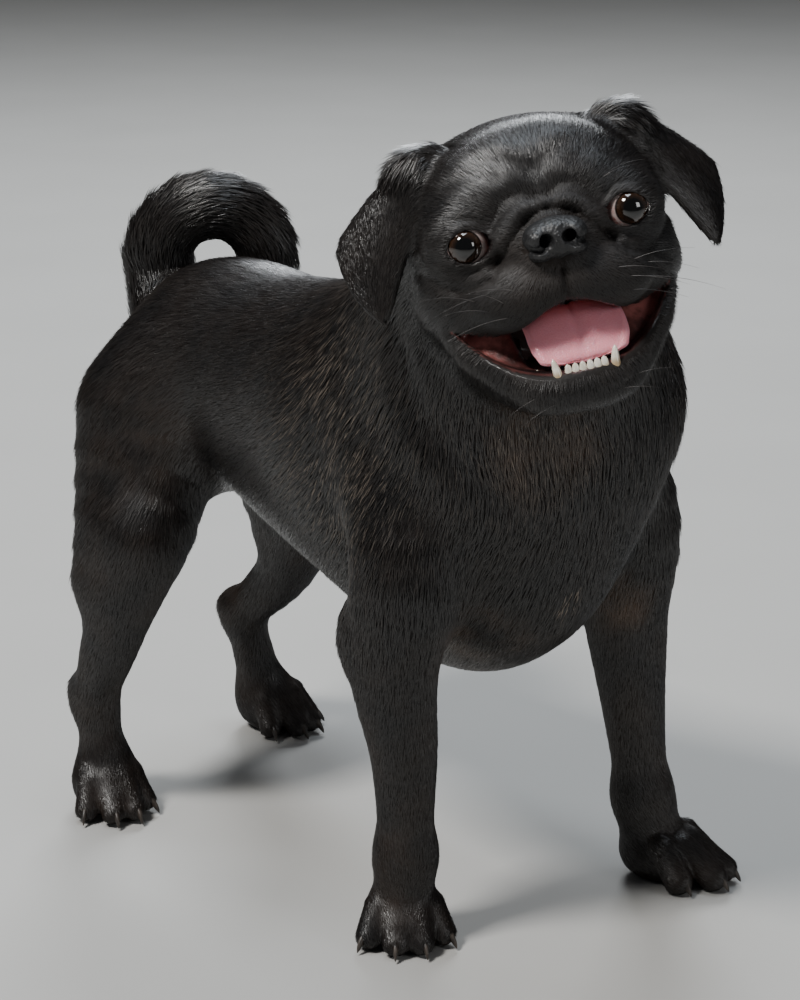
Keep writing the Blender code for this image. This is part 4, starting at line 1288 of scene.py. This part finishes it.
def nose_finish():
    f = Finish("nose_leather", Specular_IOR_Level=.5, Coat_Roughness=.30, Coat_Weight=.10)
    pebbles = f.cells(720, "SMOOTH_F1")
    worn = f.noise(130, 3)
    colour = f.mix(worn.between(.3, .75), (.007, .007, .0075), (.017, .017, .018))
    # The grooves between the pebbles are darker: painted shade.
    colour = f.mix(pebbles.between(.25, .6) * .6, colour, (.004, .004, .0045))
    return f.finish(colour, roughness=.42 + .2 * worn, height=1 - pebbles, relief=.0006, strength=.8)


nose_middle = from_head([0, -13, -4])
points, quads = surface_net(nose_pad, nose_middle - .022, nose_middle + .022, .0005, 2)
nose = new_piece("nose_pad", points + SHIFT, quads, nose_finish())
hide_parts("nose")
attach(nose, "root")
print("nose", len(points), "points")

# %% [markdown]
# ## Tongue and teeth
# The tongue lies on the floor of the mouth, its edges curled up, with a furrow along its middle.
# It is a closed sheet: a function of s from throat to tip and of an angle round it. The teeth
# that show are the lower canines, the six small incisors between them and the first cheek teeth.


# %% Tongue
def ring_faces(rings, columns):
    """Quads between rings of a closed tube, wound so that they face outwards."""
    i, j = np.meshgrid(np.arange(rings - 1), np.arange(columns), indexing="ij")
    k = (j + 1) % columns
    a, b, c, d = i * columns + j, i * columns + k, (i + 1) * columns + k, (i + 1) * columns + j
    return np.stack([a, b, c, d], -1).reshape(-1, 4)


s = np.linspace(0, 1, 60)[:, None]
turn = np.linspace(0, 2 * np.pi, 72, endpoint=False)[None]
u, up = np.cos(turn), np.sin(turn)
line, widths = smooth_path([(36, -42.3), (24, -39), (13, -37.4), (5, -40), (-.5, -46), (-4, -52), (-7.6, -59.5)],
                           [18, 20.5, 22, 22.3, 22.3, 21.5, 18.5], 12)
rows = np.linspace(0, 1, len(line))
line = np.column_stack([np.interp(s[:, 0], rows, line[:, k]) for k in range(2)])
step = unit(np.gradient(line, axis=0))
round_tip = np.sqrt(1 - np.clip((s - .93) / .07, 0, 1) ** 2 * .999)
half = np.interp(s, rows, widths) * np.maximum(round_tip, .03)
thick = 2.6 * np.maximum(round_tip, .03)
droop = 4.0 * np.sin(np.pi * np.clip(s * 1.15, 0, 1)) * u ** 4
furrow = 1.2 * np.exp(-(u * half / 1.6) ** 2) * (up > 0) * np.sin(np.pi * s) ** .5
lift = up * thick - furrow + .9 * np.exp(-((np.abs(u) - .9) / .09) ** 2) * (up > 0)
tongue_x = u * half + 2.5
tongue_y = line[:, :1] + step[:, 1:] * lift
tongue_z = line[:, 1:] - step[:, :1] * lift - droop
tongue_points = np.stack([tongue_x, tongue_y, tongue_z], -1).reshape(-1, 3)
faces = ring_faces(60, 72)
ends = np.vstack([tongue_points[:72].mean(0), tongue_points[-72:].mean(0)])
tongue_points = np.vstack([tongue_points, ends])
j = np.arange(72)
k = (j + 1) % 72
count = 60 * 72
caps = np.vstack([np.column_stack([0 * j + count, k, j]),
                  np.column_stack([0 * j + count + 1, 59 * 72 + j, 59 * 72 + k])])
faces = np.vstack([faces[:, [0, 1, 2]], faces[:, [0, 2, 3]], caps])


def tongue_finish():
    f = Finish("wet_tongue", Specular_IOR_Level=.5, Coat_Roughness=.10, Subsurface_Weight=.25,
               Subsurface_Radius=(.004, .0015, .001), Subsurface_Scale=1.0)
    soft = f.noise(90, 3)
    bumps = f.cells(1500, "SMOOTH_F1")
    colour = f.mix(soft.between(.3, .7), (.82, .14, .22), (.92, .24, .33))
    colour = f.mix(bumps.between(.1, .5) * .25, (.95, .40, .46), colour)
    return f.finish(colour, roughness=.34 + .15 * soft, coat=.35 + .3 * soft, height=1 - bumps,
                    relief=.0004, strength=.5)


tongue = new_piece("tongue_soft", from_head(tongue_points) + SHIFT, faces, tongue_finish())
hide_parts("tongue")
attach(tongue, "root")

# %% Teeth
TEETH = [(side * 12.6 + 1.5, -10.5, 8.8, 2.4, 1.0, 1.6) for side in (-1, 1)]
TEETH += [(side * v + 1.5, -12.3 + .012 * v * v, 5.4, 1.75, .62, 5) for side in (-1, 1)
          for v in (1.65, 4.9, 8.1)]
TEETH += [(side * v, y, 4.6, 1.8, 1.3, 3) for side in (-1, 1) for v, y in ((18.5, 0), (21.4, 6), (24.2, 13))]


def tooth_points(x, y, height, radius, flat, blunt, rings=12, columns=14):
    """Crown as a profile carried up: radius * sqrt(1 - t^blunt), leaning outwards a little."""
    t = np.linspace(0, 1, rings)[:, None]
    turn = np.linspace(0, 2 * np.pi, columns, endpoint=False)[None]
    r = radius * np.sqrt(np.maximum(1 - t ** blunt, .0005))
    lean = .10 * x if blunt < 2 else 0
    px = x + lean * t ** 1.5 + r * np.cos(turn)
    py = y - .5 * t + r * np.sin(turn) * flat
    pz = -66.0 + (height + 2.5) * t + 0 * turn
    return np.stack(np.broadcast_arrays(px, py, pz), -1).reshape(-1, 3)


def tooth_finish():
    f = Finish("ivory", Specular_IOR_Level=.55, Coat_Weight=.6, Coat_Roughness=.08,
               Subsurface_Weight=.1, Subsurface_Radius=(.002, .0015, .001))
    stain = f.noise(300, 3)
    root_stain = f.read("up").between(.28, .62)
    colour = f.mix(root_stain, (.46, .34, .20), f.mix(stain.between(.35, .7), (.86, .82, .72), (.70, .63, .50)))
    return f.finish(colour, roughness=.18 + .1 * stain)


all_points, all_faces, all_heights, first = [], [], [], 0
for spec in TEETH:
    pts = tooth_points(*spec)
    quads = ring_faces(12, 14)
    top = len(pts)
    j = np.arange(14)
    k = (j + 1) % 14
    cap = np.column_stack([0 * j + top, 154 + j, 154 + k])
    low_cap = np.column_stack([0 * j + top + 1, k, j])
    pts = np.vstack([pts, pts[-14:].mean(0) + vec(0, 0, .05), pts[:14].mean(0)])
    all_faces.append(np.vstack([quads[:, [0, 1, 2]], quads[:, [0, 2, 3]], cap, low_cap]) + first)
    all_heights.append((pts[:, 2] + 66) / (spec[2] + 2.5))
    all_points.append(pts)
    first += len(pts)
teeth = new_piece("lower_teeth", from_head(np.vstack(all_points)) + SHIFT, np.vstack(all_faces),
                  tooth_finish())
set_attribute(teeth, "up", np.concatenate(all_heights))
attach(teeth, "root")
print("teeth", len(TEETH))

# %% [markdown]
# ## Claws and whiskers
# A claw is a curved horn cone, ridged along its length, wide at the root where it leaves the toe.
# It is a profile carried along an arc that bends down but stays off the floor. Whiskers are the
# same in thin: a few stiff hairs on the upper lip, the brow and the chin.


# %% Carried profiles
def horn(path, radii, columns, flat=1.0):
    """Tube along a path with a point at its end: ring radii * (cos, flat sin) about each place."""
    path = np.asarray(path, float)
    along = unit(np.gradient(path, axis=0))
    across = unit(np.cross(along, vec(.13, .21, .97)))
    other = np.cross(across, along)
    turn = np.linspace(0, 2 * np.pi, columns, endpoint=False)
    ring = (np.cos(turn)[None, :, None] * across[:, None] * flat
            + np.sin(turn)[None, :, None] * other[:, None])
    points = (path[:, None] + np.asarray(radii)[:, None, None] * ring).reshape(-1, 3)
    rings = len(path)
    quads = ring_faces(rings, columns)[:, ::-1]
    j = np.arange(columns)
    k = (j + 1) % columns
    tip = rings * columns
    caps = np.vstack([np.column_stack([0 * j + tip, (rings - 1) * columns + k, (rings - 1) * columns + j]),
                      np.column_stack([0 * j + tip + 1, j, k])])
    points = np.vstack([points, path[-1] + along[-1] * radii[-1], path[0]])
    return points, np.vstack([quads[:, [0, 1, 2]], quads[:, [0, 2, 3]], caps])


def gathered(shapes):
    """Several shapes as one list of points and faces."""
    points, faces, first = [], [], 0
    for some_points, some_faces in shapes:
        points.append(some_points)
        faces.append(some_faces + first)
        first += len(some_points)
    return np.vstack(points), np.vstack(faces)


def claw_finish():
    f = Finish("claw_horn", Specular_IOR_Level=.5)
    streak = f.noise(500, 3, .6, f.place((1, 1, .25)))
    colour = f.mix(streak.between(.3, .75), (.012, .010, .009), (.060, .046, .036))
    return f.finish(colour, roughness=.30 + .25 * streak, height=streak, relief=.0002, strength=.4)


claw_horn = claw_finish()
CLAW_LENGTH, CLAW_RADIUS = .0066, .0021
for place, paw in PAWS.items():
    shapes = []
    for number, (knuckle, tip) in enumerate(toe_ends(paw), 1):
        low, high = (np.array(v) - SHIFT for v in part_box(f"claw_{place}_{number}"))
        forward = (tip - knuckle) * vec(1, 1, 0)
        forward = unit(forward)
        start = (low + high) / 2
        start = start - forward * ((start - tip) @ forward) + forward * .0022
        start[2] = tip[2] + .0016
        t = np.linspace(0, 1, 12)[:, None]
        reach = CLAW_LENGTH + .0012
        path = start + forward * reach * t - vec(0, 0, 1) * (.0064 * t ** 2 + .0006 * t)
        radii = CLAW_RADIUS * np.sqrt(np.maximum(1 - t[:, 0] ** 1.8, .012))
        shapes.append(horn(path, radii, 14, .78))
    claw_points, claw_faces = gathered(shapes)
    claws = new_piece(f"claws_{place}", claw_points + SHIFT, claw_faces, claw_horn)
    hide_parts(*[f"claw_{place}_{n}" for n in (1, 2, 3, 4)])
    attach(claws, "root")
print("claws", 16)

# %% Whiskers
WHISKER_ROOTS = [(x, z) for x, z in ((22, -22), (27, -27), (31, -21), (34, -29), (26, -33), (38, -24))]
BROW_ROOTS = [(27, 15), (31, 17), (14, -74), (22, -70)]


def on_skin(x, z):
    """Place on the front of the face at x, z: marches back until the field is below zero."""
    ys = np.arange(-40, 60, .25)
    line = from_head(np.column_stack([x + 0 * ys, ys, z + 0 * ys]))
    hit = np.argmax(skin(line) < 0)
    return vec(x, ys[hit], z)


shapes = []
for side in (-1, 1):
    for roots, reach in ((WHISKER_ROOTS, 30), (BROW_ROOTS, 17)):
        for x_root, z_root in roots:
            start = on_skin(side * x_root, z_root) + vec(0, 1.0, 0)
            out = unit(vec(side * (1.0 + .2 * RANDOM.normal()), -.55, .10 + .25 * RANDOM.normal()))
            t = np.linspace(0, 1, 14)[:, None]
            size = reach * RANDOM.uniform(.7, 1.15)
            path = start + out * size * t + vec(side * .1, .35, -.28) * size * t ** 2
            radii = .00016 * (1 - .85 * t[:, 0])
            shapes.append(horn(from_head(path), radii, 5))
whisker_points, whisker_faces = gathered(shapes)
f = Finish("whisker", Specular_IOR_Level=.5, Roughness=.35)
whisker_horn = f.finish(f.mix(f.noise(60, 2).between(.35, .65), (.02, .018, .018), (.10, .09, .085)))
whiskers = new_piece("whiskers", whisker_points + SHIFT, whisker_faces, whisker_horn)
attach(whiskers, "root")
print("whiskers", len(shapes))

# %% [markdown]
# ## Studio and camera
# A pale floor that rises far behind, one large soft light from the left and above, a fill light
# from the right, and a low strip behind the pug that draws a bright edge on its back. Black fur
# only shows its form in reflections, so the lights are large. The camera stands where the
# photograph was taken: about a metre and a half away, at the height of the pug's head and more.


# %% Floor and lights
def floor_finish():
    f = Finish("studio_floor", Specular_IOR_Level=.2)
    soft = f.noise(6, 3)
    return f.finish(f.mix(soft, (.40, .395, .38), (.44, .435, .42)), roughness=.75 + .1 * soft)


across = np.linspace(-6, 6, 25)
depth = np.linspace(-6, 7, 40)
rise = np.where(depth > 3.5, (depth - 3.5) ** 2 * .35, 0)
grid = np.stack(np.broadcast_arrays(across[None], depth[:, None], rise[:, None]), -1).reshape(-1, 3)
i, j = np.meshgrid(np.arange(39), np.arange(24), indexing="ij")
a = i * 25 + j
floor = new_piece("floor", grid, np.stack([a, a + 1, a + 26, a + 25], -1).reshape(-1, 4), floor_finish())
floor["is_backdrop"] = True


def soft_light(name, place, target, size, power, colour=(1, 1, 1)):
    """Square area light at place that faces target."""
    lamp = bpy.data.lights.new(name, "AREA")
    lamp.size, lamp.energy, lamp.color = size, power, colour
    lit = bpy.data.objects.new(name, lamp)
    back = unit(vec(*place) - vec(*target))
    right = unit(np.cross(vec(0, 0, 1), back))
    up = np.cross(back, right)
    rows = np.eye(4)
    rows[:3, 0], rows[:3, 1], rows[:3, 2], rows[:3, 3] = right, up, back, place
    lit.matrix_world = Matrix(rows.tolist())
    bpy.context.scene.collection.objects.link(lit)
    return lit


soft_light("key", (-1.8, 0, 2.6), (0, 0, .2), .6, 105, (1, .98, .95))
soft_light("fill", (.4, -2.8, 1.2), (0, 0, .2), .9, 14)
soft_light("edge", (1.4, 1.7, 1.9), (0, 0, .25), .8, 50, (.92, .96, 1))
soft_light("sky", (0, .3, 3.0), (0, 0.001, .2), 1.2, 46, (.84, .92, 1))
world = bpy.data.worlds.new("studio")
world.use_nodes = True
world.node_tree.nodes["Background"].inputs["Color"].default_value = (.90, .93, 1, 1)
world.node_tree.nodes["Background"].inputs["Strength"].default_value = .08
bpy.context.scene.world = world

# %% Camera
camera_at = vec(-.983, -1.174, .633) + SHIFT
camera_to = vec(-.025, -.033, .206) + SHIFT
lens = bpy.data.cameras.new("camera")
lens.lens, lens.sensor_width = 115, 36
camera = bpy.data.objects.new("camera", lens)
back = unit(camera_at - camera_to)
right = unit(np.cross(vec(0, 0, 1), back))
rows = np.eye(4)
rows[:3, 0], rows[:3, 1], rows[:3, 2], rows[:3, 3] = right, np.cross(back, right), back, camera_at
camera.matrix_world = Matrix(rows.tolist())
bpy.context.scene.collection.objects.link(camera)
bpy.context.scene.camera = camera

# %% Sizes, and the end
low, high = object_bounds()
print("visual box", [round(v, 3) for v in low], [round(v, 3) for v in high])
